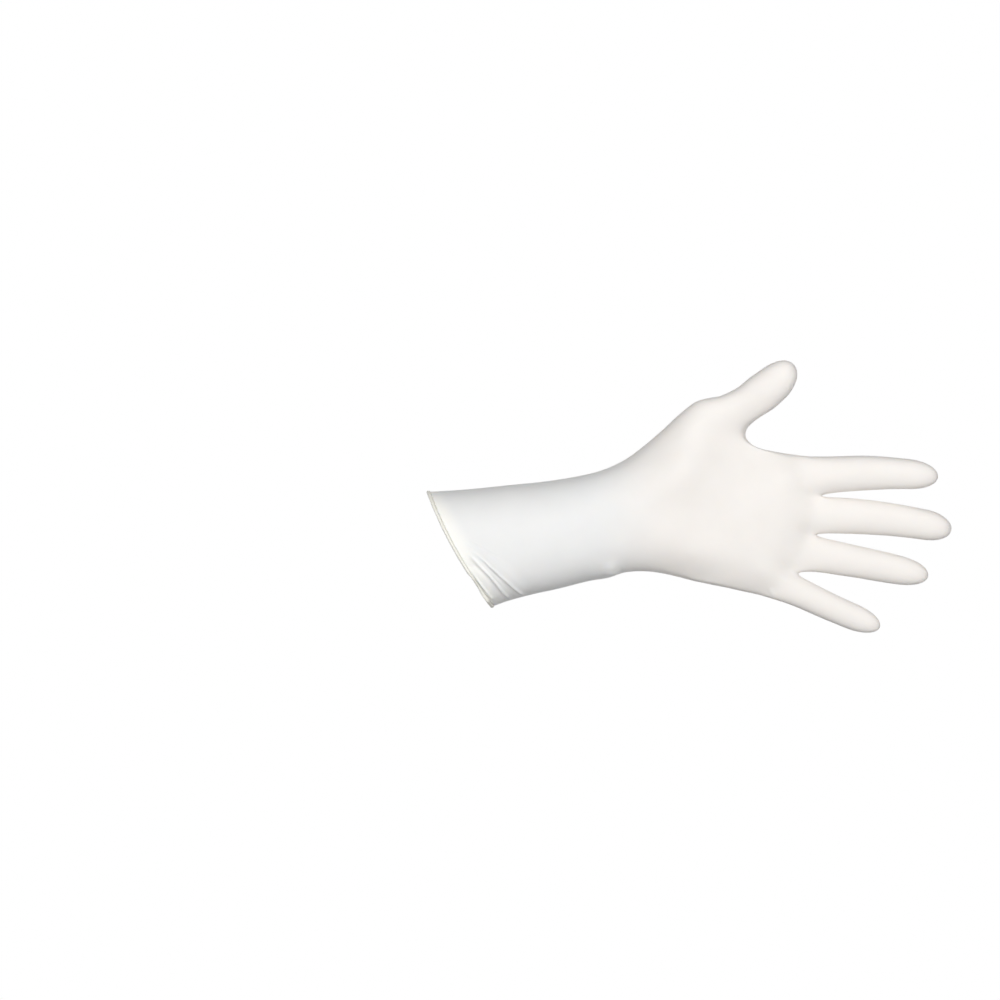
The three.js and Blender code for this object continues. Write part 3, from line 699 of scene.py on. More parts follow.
@dataclass(frozen=True)
class DippedNitrile:
    """Off-white nitrile rubber, dip-moulded and left satin: an even, slightly soft shine, with a very fine
    grain from the former and a faint unevenness of the film. Its white is warmer at the palm and the fingers
    than at the cuff, and denser beside the rolled rim. Each crease's crest carries a painted highlight, a
    white line. Lengths in millimetres."""

    name: str = "dip_moulded_nitrile_satin"
    cuff: str = "#EEEEED"
    palm: str = "#F5F0EB"
    rim: str = "#FBFAF5"
    # the colour of the painted highlight along crease crests
    crest_highlight: str = "#FFFFFD"
    palm_starts: float = 75.0
    palm_full: float = 135.0
    rim_width: float = 11.0
    grain: float = 0.35
    grain_height: float = 0.05
    cloud: float = 18.0
    cloud_white: tuple[float, float] = (0.985, 1.01)
    roughness: float = 0.5
    cloud_roughness: float = 0.04

    def build(self) -> bpy.types.Material:
        """Makes the film's material.

        Returns:
            The material.
        """
        material, tree, output = new_material(self.name)
        smooth, colours = {"interpolation_type": "SMOOTHSTEP"}, {"data_type": "RGBA"}
        place = add_node(tree, "ShaderNodeTexCoord").outputs["Object"]
        # From the cuff to the palm the film's cool white turns warm.
        split = add_node(tree, "ShaderNodeSeparateXYZ", Vector=place)
        towards = add_node(
            tree, "ShaderNodeMapRange", smooth, Value=split.outputs["X"],
            i1=self.palm_starts * MILLIMETRE, i2=self.palm_full * MILLIMETRE, i3=0.0, i4=1.0,
        )
        skin = add_node(
            tree, "ShaderNodeMix", colours, i0=towards.outputs[0],
            i6=linear(self.cuff), i7=linear(self.palm),
        )
        # Beside the slanted rim the dipped film is thicker and looks whiter.
        inwards = add_node(
            tree, "ShaderNodeVectorMath", {"operation": "DOT_PRODUCT"}, i0=place,
            i1=(1.0, 0.0, 2 * RIM_SLANT / CUFF_WIDTH),
        )
        near_rim = add_node(
            tree, "ShaderNodeMapRange", smooth, Value=inwards.outputs["Value"],
            i1=0.0, i2=self.rim_width * MILLIMETRE, i3=1.0, i4=0.0,
        )
        tinted = add_node(
            tree, "ShaderNodeMix", colours, i0=near_rim.outputs[0], i6=skin.outputs[2], i7=linear(self.rim)
        )
        # Painted highlight: a crease's crest is painted as a white line, standing in for the sheen that
        # folds catch.
        crest = add_node(tree, "ShaderNodeAttribute", {"attribute_name": PAINTED_CREST_HIGHLIGHT})
        crest_highlighted = add_node(
            tree, "ShaderNodeMix", colours, i0=crest.outputs["Fac"],
            i6=tinted.outputs[2], i7=linear(self.crest_highlight),
        )
        # Dipping leaves faint clouds in the white and in the shine.
        drift = add_node(
            tree, "ShaderNodeTexNoise", Vector=place, Scale=1 / (self.cloud * MILLIMETRE), Detail=3.0
        )
        darker, lighter = self.cloud_white
        cloud = add_node(
            tree, "ShaderNodeMapRange", Value=drift.outputs["Fac"], i1=0.3, i2=0.7, i3=darker, i4=lighter
        )
        shade = add_node(
            tree, "ShaderNodeVectorMath", {"operation": "SCALE"}, Vector=crest_highlighted.outputs[2],
            Scale=cloud.outputs[0],
        )
        shine = add_node(
            tree, "ShaderNodeMapRange", Value=drift.outputs["Fac"], i1=0.3, i2=0.7,
            i3=self.roughness - self.cloud_roughness, i4=self.roughness + self.cloud_roughness,
        )
        # The former's fine grain turns a gloss into a satin.
        fine = add_node(
            tree, "ShaderNodeTexNoise", Vector=place, Scale=1 / (self.grain * MILLIMETRE), Detail=2.0
        )
        bump = add_node(
            tree, "ShaderNodeBump", Height=fine.outputs["Fac"], Strength=0.12,
            Distance=self.grain_height * MILLIMETRE,
        )
        shader = add_node(
            tree, "ShaderNodeBsdfPrincipled", Base_Color=shade.outputs[0], Roughness=shine.outputs[0],
            Normal=bump.outputs[0], IOR=1.52, Specular_IOR_Level=0.35, Subsurface_Weight=0.15,
            Subsurface_Radius=(1.0, 0.8, 0.6), Subsurface_Scale=0.6 * MILLIMETRE,
        )
        tree.links.new(shader.outputs[0], output.inputs[0])
        return material


@dataclass(frozen=True)
class RolledNitrile:
    """The same rubber rolled several turns thick: it looks denser and creamier, with the same satin.
    Lengths in millimetres."""

    name: str = "rolled_nitrile_satin"
    body: str = "#FCFAF2"
    hollow: str = "#F0ECDC"
    cloud: float = 6.0
    deepest: float = 0.35
    turn: float = 0.8
    turn_height: float = 0.08
    roughness: float = 0.48

    def build(self) -> bpy.types.Material:
        """Makes the bead's material.

        Returns:
            The material.
        """
        material, tree, output = new_material(self.name)
        place = add_node(tree, "ShaderNodeTexCoord").outputs["Object"]
        # Where the roll is looser, its cream looks deeper.
        drift = add_node(
            tree, "ShaderNodeTexNoise", Vector=place, Scale=1 / (self.cloud * MILLIMETRE), Detail=2.0
        )
        loose = add_node(
            tree, "ShaderNodeMapRange", Value=drift.outputs["Fac"], i1=0.35, i2=0.65, i3=0.0, i4=self.deepest
        )
        colour = add_node(
            tree, "ShaderNodeMix", {"data_type": "RGBA"}, i0=loose.outputs[0],
            i6=linear(self.body), i7=linear(self.hollow),
        )
        # The turns of the roll leave small uneven ridges.
        ridges = add_node(
            tree, "ShaderNodeTexNoise", Vector=place, Scale=1 / (self.turn * MILLIMETRE), Detail=2.0
        )
        bump = add_node(
            tree, "ShaderNodeBump", Height=ridges.outputs["Fac"], Strength=0.15,
            Distance=self.turn_height * MILLIMETRE,
        )
        shader = add_node(
            tree, "ShaderNodeBsdfPrincipled", Base_Color=colour.outputs[2], Roughness=self.roughness,
            Normal=bump.outputs[0], IOR=1.52, Specular_IOR_Level=0.35,
        )
        tree.links.new(shader.outputs[0], output.inputs[0])
        return material


@dataclass
class GloveFilm:
    """The glove's film from the rim to the fingertips, with its own wall and finish. Sizes in millimetres.

    The roundnesses are powers of the sine that gives a finger's depth round its section: 1 is an ellipse,
    and less is flatter. An evening's two lengths are its reach and the breadth of its mean.
    """

    name: str = "dipped_film"
    finish: DippedNitrile = DippedNitrile()
    wall: float = 0.4
    # lines round the glove, and rows along it
    arc: int = 8
    across: dict[Side, int] = field(default_factory=lambda: {Side.PALM: 20, Side.BACK: 12})
    sleeve_length: float = 175.0
    fine_until: float = 40.0
    coarse_after: float = 15.0
    fine_step: float = 0.55
    coarse_step: float = 2.4
    step_samples: int = 4001
    palm_rows: int = 26
    finger_step: float = 2.2
    tip_rows: int = 12
    # where the sleeve and the palm turn into the thumb's and the fingers' roots
    thumb_start: float = 0.78
    finger_start: float = 0.66
    bay_depth: float = 9.0
    bay_share: float = 0.16
    palm_fade: float = 0.75
    crowding: float = 5.0
    crowding_share: float = 0.8
    # the thumb and the fingers, and the webs from the thumb's to the little finger's
    roundness: dict[Side, float] = field(default_factory=lambda: {Side.PALM: 0.7, Side.BACK: 0.9})
    root_roundness: dict[Side, float] = field(default_factory=lambda: {Side.PALM: 0.45, Side.BACK: 0.8})
    web_gap: float = 1.4
    thumb_fade: float = 0.3
    finger_fade: float = 0.22
    webs: tuple[Web, ...] = (
        Web(0.3, 15, 3.5, 6, 9, 0.5, 9),
        Web(0.32, 4.5, 1.8, 5, 4, 2.7, 5),
        Web(0.32, 4.5, 1.8, 5, 4, 2.9, 5),
        Web(0.32, 4.5, 1.8, 5, 4, 3.1, 5),
    )
    # how the skin is evened afterwards
    web_softness: float = 9.0
    web_passes: int = 20
    blend_rows: float = 13.0
    blend_lines: int = 12
    blend_passes: int = 150
    thumb_evening: tuple[float, float] = (26.0, 9.0)
    finger_evening: tuple[float, float] = (24.0, 9.0)
    evened_rows: int = 60

    def lines(self, bounds: Array, side: Side) -> Lines:
        """The lines of one face over these divisions."""
        return Lines.over(bounds, self.arc, self.across[side])

    def sleeve_shares(self) -> Array:
        """Shares of the sleeve at which its rows stand: close together near the rim, further apart beyond.
        The rows are spread by the running sum of one over the wanted step.

        Returns:
            The shares.
        """
        at = np.linspace(0.0, 1.0, self.step_samples)
        beyond = at * self.sleeve_length - self.fine_until
        step = mix(self.fine_step, self.coarse_step, ease(beyond / self.coarse_after))
        run = np.concatenate([[0.0], np.cumsum(self.sleeve_length * np.diff(at) / step[1:])])
        rows = int(round(run[-1]))
        return np.interp(np.linspace(0.0, run[-1], rows + 1), run, at)

    def sleeve(self, side: Side, at: Array, sleeve: Trunk, palm: Trunk) -> Array:
        """Rows of the sleeve's face. Where the thumb leaves, the depth turns from a plain tube's into the
        thumb's round root beside the palm's own tube, which starts as deep as the web. The web's depth dies
        out across the palm by a sixth power.

        Args:
            side: The face.
            at: Shares of the sleeve.
            sleeve: The sleeve's sections.
            palm: The palm's sections.

        Returns:
            The points, row by row.
        """
        lines = self.lines(SLEEVE_SHARES, side)
        thumb = FINGERS[0]
        weight = ease((at - self.thumb_start) / (1 - self.thumb_start))[:, None]
        share = mix(lines.mouth, lines.split, ease(at)[:, None])
        sections = sleeve.at(at)
        rows = sections.middle(share)
        beyond = np.clip((share - THUMB_SHARE) / (1 - THUMB_SHARE), 0.0, 1.0)
        bay = beyond / self.bay_share
        rows[..., 0] -= weight * self.bay_depth * bay * np.exp(1 - bay)
        power = self.roundness[side]
        root = thumb.lift + side.value * np.sin(lines.angle) ** power * thumb.half_depth - rows[..., 1]
        edge = thumb.lift + side.value * np.sin(WEB_ANGLE) ** power * thumb.half_depth - rows[..., 1]
        web = edge * (1 - beyond) ** 6
        rest = side.value * np.hypot(web, palm.at(0.0).tube(beyond, side))
        crotch = np.where(lines.group == 0, root, rest)
        rows[..., 1] += mix(sections.tube(share, side), crotch, weight)
        return rows

    def palm(self, side: Side, at: Array, palm: Trunk, opening: Array) -> Array:
        """Rows of the palm's face. The lines keep their height past the thumb's web while the upper edge
        falls, then take the fingers' own spacing, and the depth turns into the fingers' round roots.

        Args:
            side: The face.
            at: Shares of the palm.
            palm: The palm's sections.
            opening: The row that the palm starts from.

        Returns:
            The points, row by row.
        """
        lines = self.lines(ROOT_SHARES, side)
        sleeve = self.lines(SLEEVE_SHARES, side)
        arc, across = self.arc, self.across[side]
        first, here = palm.at(0.0), palm.at(at)
        kept = (sleeve.split[arc + across:] - THUMB_SHARE) / (1 - THUMB_SHARE)
        drop = first.top - here.top
        soft = np.minimum(self.crowding, drop * self.crowding_share)
        below = kept[: len(kept) - arc] * (first.top - first.bottom) - drop
        held = (below + np.hypot(below, soft)) / 2 / (here.top - here.bottom)
        arcs = np.arange(arc) / arc
        round_off = (1 - np.cos(WEB_ANGLE * arcs)) / (1 - np.cos(WEB_ANGLE))
        upper = held[:, :1] * round_off
        lower = 1 - (1 - held[:, -1:]) * round_off[::-1]
        settled = ease(at / self.palm_fade)
        share = mix(np.concatenate([upper, held, lower], axis=1), lines.split, settled[:, None])
        rows = here.middle(share)
        lift, half = self.root_sizes(lines)
        root = lift + side.value * np.sin(lines.angle) ** self.root_roundness[side] * half - rows[..., 1]
        weight = ease((at - self.finger_start) / (1 - self.finger_start))[:, None]
        rows[..., 1] += mix(here.tube(share, side), root, weight)
        start_share = np.concatenate([np.zeros(arc), kept])[None]
        start = first.middle(start_share)[0]
        start[:, 1] += first.tube(start_share, side)[0]
        return rows + (opening - start) * (1 - settled)[:, None, None]

    def root_sizes(self, lines: Lines) -> tuple[Array, Array]:
        """Lift and half depth of the finger roots along a row, which meet half way at each crotch by the
        third power of the distance from the finger's middle.

        Args:
            lines: The row's lines.

        Returns:
            The lifts and the half depths.
        """
        lifts = np.array([finger.lift for finger in FINGERS[1:]], float)
        halves = np.array([finger.half_depth for finger in FINGERS[1:]])
        other = np.clip(lines.group + np.where(lines.step < 0.5, -1, 1), 0, len(lifts) - 1)
        blend = 0.5 * np.abs(2 * lines.step - 1) ** 3
        lift = mix(lifts[lines.group], lifts[other], blend)
        return lift, mix(halves[lines.group], halves[other], blend)

    def add_web(self, skin: Skin, middle: Array, edges: dict[Side, int]) -> Rows:
        """Adds the points of a crotch between its middle and the two faces' lines that end there.

        Args:
            skin: The skin.
            middle: The crotch's middle.
            edges: Numbers of the points of the two faces at the crotch.

        Returns:
            Numbers of the points from the middle outwards, for each face.
        """
        t = (np.arange(self.arc) / self.arc)[:, None]
        web = {side: mix(middle, skin.points[edge], t) for side, edge in edges.items()}
        start = len(skin.points)
        skin.points = np.concatenate([skin.points, web[Side.PALM], web[Side.BACK][1:]])
        front = start + np.arange(self.arc)
        back = np.concatenate([[start], start + self.arc + np.arange(self.arc - 1)])
        return {Side.PALM: front, Side.BACK: back}

    def finger_shares(self, finger: Finger) -> Array:
        """Shares of a finger at which its rings stand: even along the shaft, and sines over its end.

        Args:
            finger: The finger.

        Returns:
            The shares.
        """
        shaft = max(2, int(round(finger.length * finger.tip / self.finger_step)))
        turn = np.linspace(0.0, np.pi / 2, self.tip_rows + 1)[1:-1]
        round_end = finger.tip + (1 - finger.tip) * np.sin(turn)
        return np.concatenate([np.linspace(0.0, finger.tip, shaft + 1)[1:], round_end])

    def finger_rings(self, number: int, side: Side, at: Array, centres: list[Array], free: bool) -> Array:
        """Rings of a finger: flattened ellipses round a bowed and curled centreline, whose width keeps clear
        of the fingers beside it and whose end closes as a quarter circle.

        Args:
            number: Which finger, from the thumb.
            side: The face.
            at: Shares of the finger's length.
            centres: The roots' middles.
            free: Whether neighbours are disregarded.

        Returns:
            The points, row by row.
        """
        finger = FINGERS[number]
        girth = through(GIRTH_AT, np.array(finger.girth)[:, None], at)[:, 0]
        over = np.clip((at - finger.tip) / (1 - finger.tip), 0.0, 1.0)
        half = finger.width / 2 * girth * np.sqrt(1 - over**2)
        centre = centres[number] + at[:, None] * finger.length * finger.axis
        centre = centre + (finger.bow * np.sin(np.pi * at))[:, None] * finger.across
        centre[:, 1] -= finger.curl * at * at
        reach = []
        for j in (number - 1, number + 1):
            if free or number == 0 or j < 1 or j >= len(FINGERS):
                reach.append(half)
                continue
            away = np.abs((centre - centres[j]) @ FINGERS[j].across)
            share = finger.width / (finger.width + FINGERS[j].width)
            reach.append(np.minimum(half, away * share - self.web_gap / 2))
        angle = half_turn(WEB_ANGLE, self.arc, np.arange(self.across[side] + 1) / self.across[side])
        wide = np.where(np.cos(angle) > 0, reach[0][:, None], reach[1][:, None]) * np.cos(angle)
        rings = centre[:, None, :] + wide[..., None] * finger.across
        depth = half[:, None] * finger.fullness * np.sin(angle) ** self.roundness[side]
        rings[..., 1] += side.value * depth
        return rings

    def thumb_root(self, skin: Skin, rings: Rows, middle: Array) -> tuple[Rows, Rows, Rows]:
        """Divides the sleeve's last ring at the thumb's crotch.

        Args:
            skin: The skin.
            rings: Numbers of the sleeve's rows.
            middle: The crotch's middle.

        Returns:
            Numbers of the crotch's points, of the thumb's root ring and of the palm's first row.
        """
        ends = {side: rings[side][-1] for side in Side}
        splits = {side: self.arc + self.across[side] for side in Side}
        web = self.add_web(skin, middle, {side: ends[side][splits[side]] for side in Side})
        root = {side: np.concatenate([ends[side][: splits[side] + 1], web[side][::-1]]) for side in Side}
        first = {side: np.concatenate([web[side], ends[side][splits[side] :]]) for side in Side}
        return web, root, first

    def finger_roots(self, skin: Skin, palms: Rows, middles: Array) -> tuple[list[Rows], list[Rows]]:
        """Divides the palm's last row at the crotches between the fingers.

        Args:
            skin: The skin.
            palms: Numbers of the palm's rows.
            middles: The crotches' middles.

        Returns:
            Numbers of the crotches' points, with the outer edges first and last, and of the root rings.
        """
        arc = self.arc
        ends = {side: palms[side][-1] for side in Side}
        webs = [{side: ends[side][:arc] for side in Side}]
        for i, middle in enumerate(middles):
            edges = {side: ends[side][arc + self.across[side] * (i + 1)] for side in Side}
            webs.append(self.add_web(skin, middle, edges))
        webs.append({side: ends[side][-arc:][::-1] for side in Side})
        roots = []
        for i, (upper, lower) in enumerate(zip(webs, webs[1:])):
            root = {}
            for side in Side:
                a = arc + self.across[side] * i
                columns = ends[side][a : a + self.across[side] + 1]
                root[side] = np.concatenate([upper[side], columns, lower[side][::-1]])
            roots.append(root)
        return webs, roots

    def build_skin(self) -> tuple[Skin, Index, Index]:
        """The whole outer skin in millimetres.

        Returns:
            The skin, and the numbers of its first two rings as loops.
        """
        skin = Skin()
        sleeve = Trunk(SLEEVE)
        crotch = sleeve.at(1.0).middle(np.array([[THUMB_SHARE]]))[0, 0]
        crotch[1] = FINGERS[0].lift / 2
        palm = Trunk(PALM, crotch)
        knuckles = palm.at(1.0).middle(ROOT_SHARES[None, 1:-1])[0]
        knuckles[:, 1] = [(upper.lift + lower.lift) / 2 for upper, lower in zip(FINGERS[1:], FINGERS[2:])]

        at = self.sleeve_shares()
        rings = skin.add({side: self.sleeve(side, at, sleeve, palm) for side in Side})
        skin.weave(rings)
        web, root, first = self.thumb_root(skin, rings, crotch)
        at = np.arange(1, self.palm_rows + 1) / self.palm_rows
        palms = skin.add({side: self.palm(side, at, palm, skin.points[first[side]]) for side in Side})
        skin.weave({side: np.vstack([first[side], palms[side]]) for side in Side})
        webs, roots = self.finger_roots(skin, palms, knuckles)
        grown = self.grow(skin, [root, *roots])

        crotches = [crotch, *knuckles]
        self.shape_webs(skin, crotches)
        self.even(skin, rings, palms, grown, web, webs)
        near = np.min([np.hypot(*(skin.points[:, [0, 2]] - c[[0, 2]]).T) for c in crotches], axis=0)
        skin.soften(0.5 * bell(near / self.web_softness), self.web_passes)
        self.blend(skin, rings, palms)
        loops = [np.concatenate([rings[Side.PALM][r], rings[Side.BACK][r][-2:0:-1]]) for r in (0, 1)]
        return skin, loops[0], loops[1]

    def grow(self, skin: Skin, roots: list[Rows]) -> list[Rows]:
        """Adds every finger to its root ring, whose own form dies out along the finger by a square.

        Args:
            skin: The skin.
            roots: Numbers of the root rings' points, from the thumb.

        Returns:
            Numbers of the fingers' rings.
        """
        centres = []
        for finger, root in zip(FINGERS, roots):
            ends = skin.points[root[Side.PALM][[0, -1]]]
            centre = ends.mean(axis=0)
            centre[1] = finger.lift
            centres.append(centre)
        grown = []
        for number, (finger, root) in enumerate(zip(FINGERS, roots)):
            at = self.finger_shares(finger)
            LOG.info("%s: %d rings", finger.name, len(at))
            fade = (1 - np.clip(at / (self.finger_fade if number else self.thumb_fade), 0.0, 1.0)) ** 2
            rows = {}
            for side in Side:
                start = self.finger_rings(number, side, np.zeros(1), centres, True)[0]
                offset = skin.points[root[side]] - start
                rings = self.finger_rings(number, side, at, centres, False)
                rows[side] = rings + offset * fade[:, None, None]
            added = skin.add(rows)
            skin.weave({side: np.vstack([root[side], added[side]]) for side in Side})
            tip = self.finger_rings(number, Side.PALM, np.ones(1), centres, True)[0, 0]
            skin.close({side: added[side][-1] for side in Side}, tip)
            grown.append(added)
        return grown

    def shape_webs(self, skin: Skin, crotches: list[Array]) -> None:
        """Thins the skin round each web by a Gaussian of the distance, rounds the web's edge, and sets it
        back by as much as the softening will fill it.

        Args:
            skin: The skin.
            crotches: The crotches' middles, from the thumb's.
        """
        for crotch, web in zip(crotches, self.webs):
            p = skin.points
            away = np.hypot(p[:, 0] - crotch[0], p[:, 2] - crotch[2])
            rise = (p[:, 1] - crotch[1]) * (1 - web.thinning * bell(away / web.thin_reach))
            p[:, 1] = crotch[1] + rise
            p[:, 0] -= web.set_back * bell(away / web.round_reach) * np.minimum(1.0, (rise / web.half) ** 2)
            p[:, 0] -= web.recess * bell(away / web.recess_reach)

    def evened(self, line: Array, division: int, reach: float, breadth: float) -> Array:
        """Changes of depth that even lines of points: a Gaussian mean of the depth along each line, blended
        in by another Gaussian round the ring where the form divides.

        Args:
            line: Points, ring by ring, one column for each line.
            division: The ring where the form divides.
            reach: How far the blend reaches.
            breadth: How broadly the mean is taken.

        Returns:
            The change of depth at each point.
        """
        step = np.hypot(*np.moveaxis(np.diff(line[..., [0, 2]], axis=0), -1, 0))
        step = np.concatenate([np.zeros((1, line.shape[1])), step])
        run = np.cumsum(step, axis=0)
        length = (step + np.concatenate([step[1:], step[-1:]])) / 2
        weight = length[None] * bell((run[None] - run[:, None]) / breadth)
        mean = (weight * line[None, ..., 1]).sum(axis=1) / weight.sum(axis=1)
        return (mean - line[..., 1]) * bell((run - run[division]) / reach)

    def thumb_changes(
        self, skin: Skin, sleeve: Index, palm: Index, thumb: Index, web: Index
    ) -> list[tuple[Index, Array]]:
        """Changes of depth on one face that even the lines into the palm and into the thumb. The crotch's
        points follow the line that they start from, less towards the crotch's middle.

        Args:
            skin: The skin.
            sleeve: Numbers of the sleeve's rows.
            palm: Numbers of the palm's rows.
            thumb: Numbers of the thumb's rings.
            web: Numbers of the crotch.

        Returns:
            Numbers of points, and their changes.
        """
        share = np.arange(self.arc) / self.arc
        split = thumb.shape[1] - self.arc - 1
        last = min(len(sleeve) - 1, self.evened_rows)
        sleeve = sleeve[len(sleeve) - 1 - last :]
        inner = np.vstack([sleeve[:, split:], palm[:, self.arc :]])
        outer = np.vstack([sleeve[:, : split + 1], thumb[:, : split + 1]])
        palm_change = self.evened(skin.points[inner], last, *self.thumb_evening)
        thumb_change = self.evened(skin.points[outer], last, *self.thumb_evening)
        return [
            (inner, palm_change),
            (palm[:, : self.arc], palm_change[last + 1 :, :1] * share),
            (web, palm_change[last, 0] * share),
            (outer, thumb_change),
            (thumb[:, split + 1 :], thumb_change[last + 1 :, -1:] * share[::-1]),
        ]

    def finger_changes(
        self, skin: Skin, palm: Index, fingers: list[Index], webs: list[Index]
    ) -> list[tuple[Index, Array]]:
        """Changes of depth on one face that even the lines from the palm into the fingers.

        Args:
            skin: The skin.
            palm: Numbers of the palm's rows.
            fingers: Numbers of the fingers' rings.
            webs: Numbers of the crotches, with the outer edges first and last.

        Returns:
            Numbers of points, and their changes.
        """
        arc = self.arc
        share = np.arange(arc) / arc
        last = len(palm) - 1
        changes = []
        for i, finger in enumerate(fingers):
            upper, lower = i == 0, i == len(fingers) - 1
            across = finger.shape[1] - 2 * arc - 1
            a = 0 if upper else arc
            b = arc + across + 1 + (arc if lower else 0)
            own = np.vstack([palm[:, across * i + a : across * i + b], finger[:, a:b]])
            change = self.evened(skin.points[own], last, *self.finger_evening)
            changes.append((own, change))
            if not upper:
                changes.append((finger[:, :arc], change[last + 1 :, :1] * share))
                changes.append((webs[i], change[last, 0] * share))
            if not lower:
                changes.append((finger[:, -arc:], change[last + 1 :, -1:] * share[::-1]))
                changes.append((webs[i + 1], change[last, -1] * share))
        return changes

    def even(
        self, skin: Skin, rings: Rows, palms: Rows, grown: list[Rows], web: Rows, webs: list[Rows]
    ) -> None:
        """Evens the depth along the lines where the thumb and the fingers leave.

        Args:
            skin: The skin.
            rings: Numbers of the sleeve's rows.
            palms: Numbers of the palm's rows.
            grown: Numbers of the fingers' rings, from the thumb.
            web: Numbers of the thumb's crotch.
            webs: Numbers of the finger crotches, with the outer edges first and last.
        """
        total = np.zeros(len(skin.points))
        count = np.zeros(len(skin.points))
        for side in Side:
            thumb, *fingers = (rows[side] for rows in grown)
            changes = self.thumb_changes(skin, rings[side], palms[side], thumb, web[side])
            changes += self.finger_changes(skin, palms[side], fingers, [row[side] for row in webs])
            for numbers, change in changes:
                total += np.bincount(numbers.ravel(), change.ravel(), len(total))
                count += np.bincount(numbers.ravel(), minlength=len(total))
        skin.points[:, 1] += total / np.maximum(count, 1)

    def blend(self, skin: Skin, rings: Rows, palms: Rows) -> None:
        """Spreads the points evenly across the broad faces where the sleeve, the palm and the thumb meet.
        The skin's edges, which face sideways, stay.

        Args:
            skin: The skin.
            rings: Numbers of the sleeve's rows.
            palms: Numbers of the palm's rows.
        """
        facing = ease((np.abs(skin.normals()[:, 1]) - 0.5) / 0.4)
        weight = np.zeros(len(skin.points))
        for side in Side:
            last = len(rings[side])
            rows = np.arange(last) - last + 1
            own = rings[side][:, self.arc + self.across[side] - self.blend_lines :]
            inwards = ease(np.arange(own.shape[1]) / self.blend_lines)
            weight[own] = bell(rows / self.blend_rows)[:, None] * inwards
            rows = np.arange(len(palms[side])) + 1
            weight[palms[side]] = bell(rows / self.blend_rows)[:, None]
        skin.soften(0.5 * weight * facing, self.blend_passes)

    def raise_forms(self, skin: Skin) -> Array:
        """Raises the pads, folds and creases along the skin's own normals, most where it faces outwards.

        Args:
            skin: The skin.

        Returns:
            How near each point is to a crease's crest, from 0 to 1.
        """
        normals = skin.normals()
        facing = np.abs(normals[:, 1])
        height = np.zeros(len(skin.points))
        crest_highlight_mask = np.zeros(len(skin.points))
        for side in Side:
            here = np.sign(normals[:, 1]) == side.value
            pads = sum(pad.height_at(skin.points) for pad in PADS if pad.side is side)
            folds = sum(fold.height_at(skin.points) for fold in FOLDS if fold.side is side)
            creases = [crease.height_at(skin.points) for crease in CREASES if crease.side is side]
            lines = sum(rise for rise, _near in creases)
            height += np.where(here, pads * facing**2 + (folds + lines) * ease(facing / 0.4), 0.0)
            # nearness to a crease's crest, which the material turns into a painted highlight
            crest_highlight_mask = np.where(here, np.clip(sum(near for _rise, near in creases), 0.0, 1.0), crest_highlight_mask)
        skin.points += normals * height[:, None]
        return crest_highlight_mask

    def build(self) -> tuple[bpy.types.Object, Array, Array, Array]:
        """Makes the film's object with its inner wall and its finish.

        Returns:
            The object, the rim's points, the next ring's points and the normals at the rim.
        """
        skin, rim, following = self.build_skin()
        crest_highlight_mask = self.raise_forms(skin)
        quads, caps = skin.faces()
        piece = mesh_object(self.name, skin.points, [quads, caps])
        # the crest nearness goes to the material, which paints a highlight along the crests
        painted_crest_highlight = piece.data.attributes.new(PAINTED_CREST_HIGHLIGHT, "FLOAT", "POINT")
        painted_crest_highlight.data.foreach_set("value", crest_highlight_mask.astype(np.float32))
        piece.data.materials.append(self.finish.build())
        wall = piece.modifiers.new("wall", "SOLIDIFY")
        wall.thickness = self.wall * MILLIMETRE
        wall.offset = -1.0
        wall.use_even_offset = False
        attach(piece, "root")
        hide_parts("glove_film")
        return piece, skin.points[rim], skin.points[following], skin.normals()[rim]


@dataclass
class RolledBead:
    """The film's edge rolled up on itself: a tube of several parallel strands. Sizes in millimetres.

    A waist is where it is rolled tighter: its depth as a share of the radius, how often it comes round the
    rim, and where it starts, in radians.
    """

    name: str = "rolled_edge"
    finish: RolledNitrile = RolledNitrile()
    diameter: float = 2.3
    gap: float = 0.1
    inset: float = 0.2
    sides: int = 20
    lobes: int = 3
    groove: float = 0.16
    turns: int = 2
    waists: tuple[tuple[float, int, float], ...] = ((0.05, 5, 0.0), (0.03, 13, 1.0))

    def build(self, rim: Array, following: Array, normals: Array) -> bpy.types.Object:
        """Makes the bead round the rim, with its finish. Its section is a circle with shallow grooves
        between the strands, and the grooves wind slowly round it.

        Args:
            rim: The film's edge as a loop of points.
            following: The next ring.
            normals: The skin's normals at the edge.

        Returns:
            The bead's object.
        """
        away = rim - following
        away /= np.linalg.norm(away, axis=1, keepdims=True)
        out = normals - (normals * away).sum(axis=1, keepdims=True) * away
        out /= np.linalg.norm(out, axis=1, keepdims=True)
        radius = self.diameter / 2
        centre = rim + away * (self.gap + radius) - out * self.inset
        step = np.linalg.norm(np.roll(rim, -1, axis=0) - rim, axis=1)
        run = np.concatenate([[0.0], np.cumsum(step)[:-1]]) / step.sum()
        angle = 2 * np.pi * np.arange(self.sides) / self.sides
        twist = 2 * np.pi * self.turns * run / self.lobes
        phase = self.lobes * (angle[None] + twist[:, None])
        swell = 1.0
        for depth, times, start in self.waists:
            swell = swell + depth * np.sin(2 * np.pi * times * run + start)
        grooved = 1 - self.groove * (0.5 + 0.5 * np.cos(phase)) ** 2
        size = radius * grooved * np.minimum(swell, 1.0)[:, None]
        points = (
            centre[:, None]
            + (size * np.cos(angle))[..., None] * out[:, None]
            + (size * np.sin(angle))[..., None] * away[:, None]
        )
        count = len(rim)
        number = np.arange(count * self.sides).reshape(count, self.sides)
        after = np.roll(number, -1, axis=0)
        quads = np.stack([number, np.roll(number, -1, axis=1), np.roll(after, -1, axis=1), after], axis=-1)
        piece = mesh_object(self.name, points.reshape(-1, 3), [quads.reshape(-1, 4)])
        piece.data.materials.append(self.finish.build())
        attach(piece, "root")
        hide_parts("cuff_bead")
        return piece


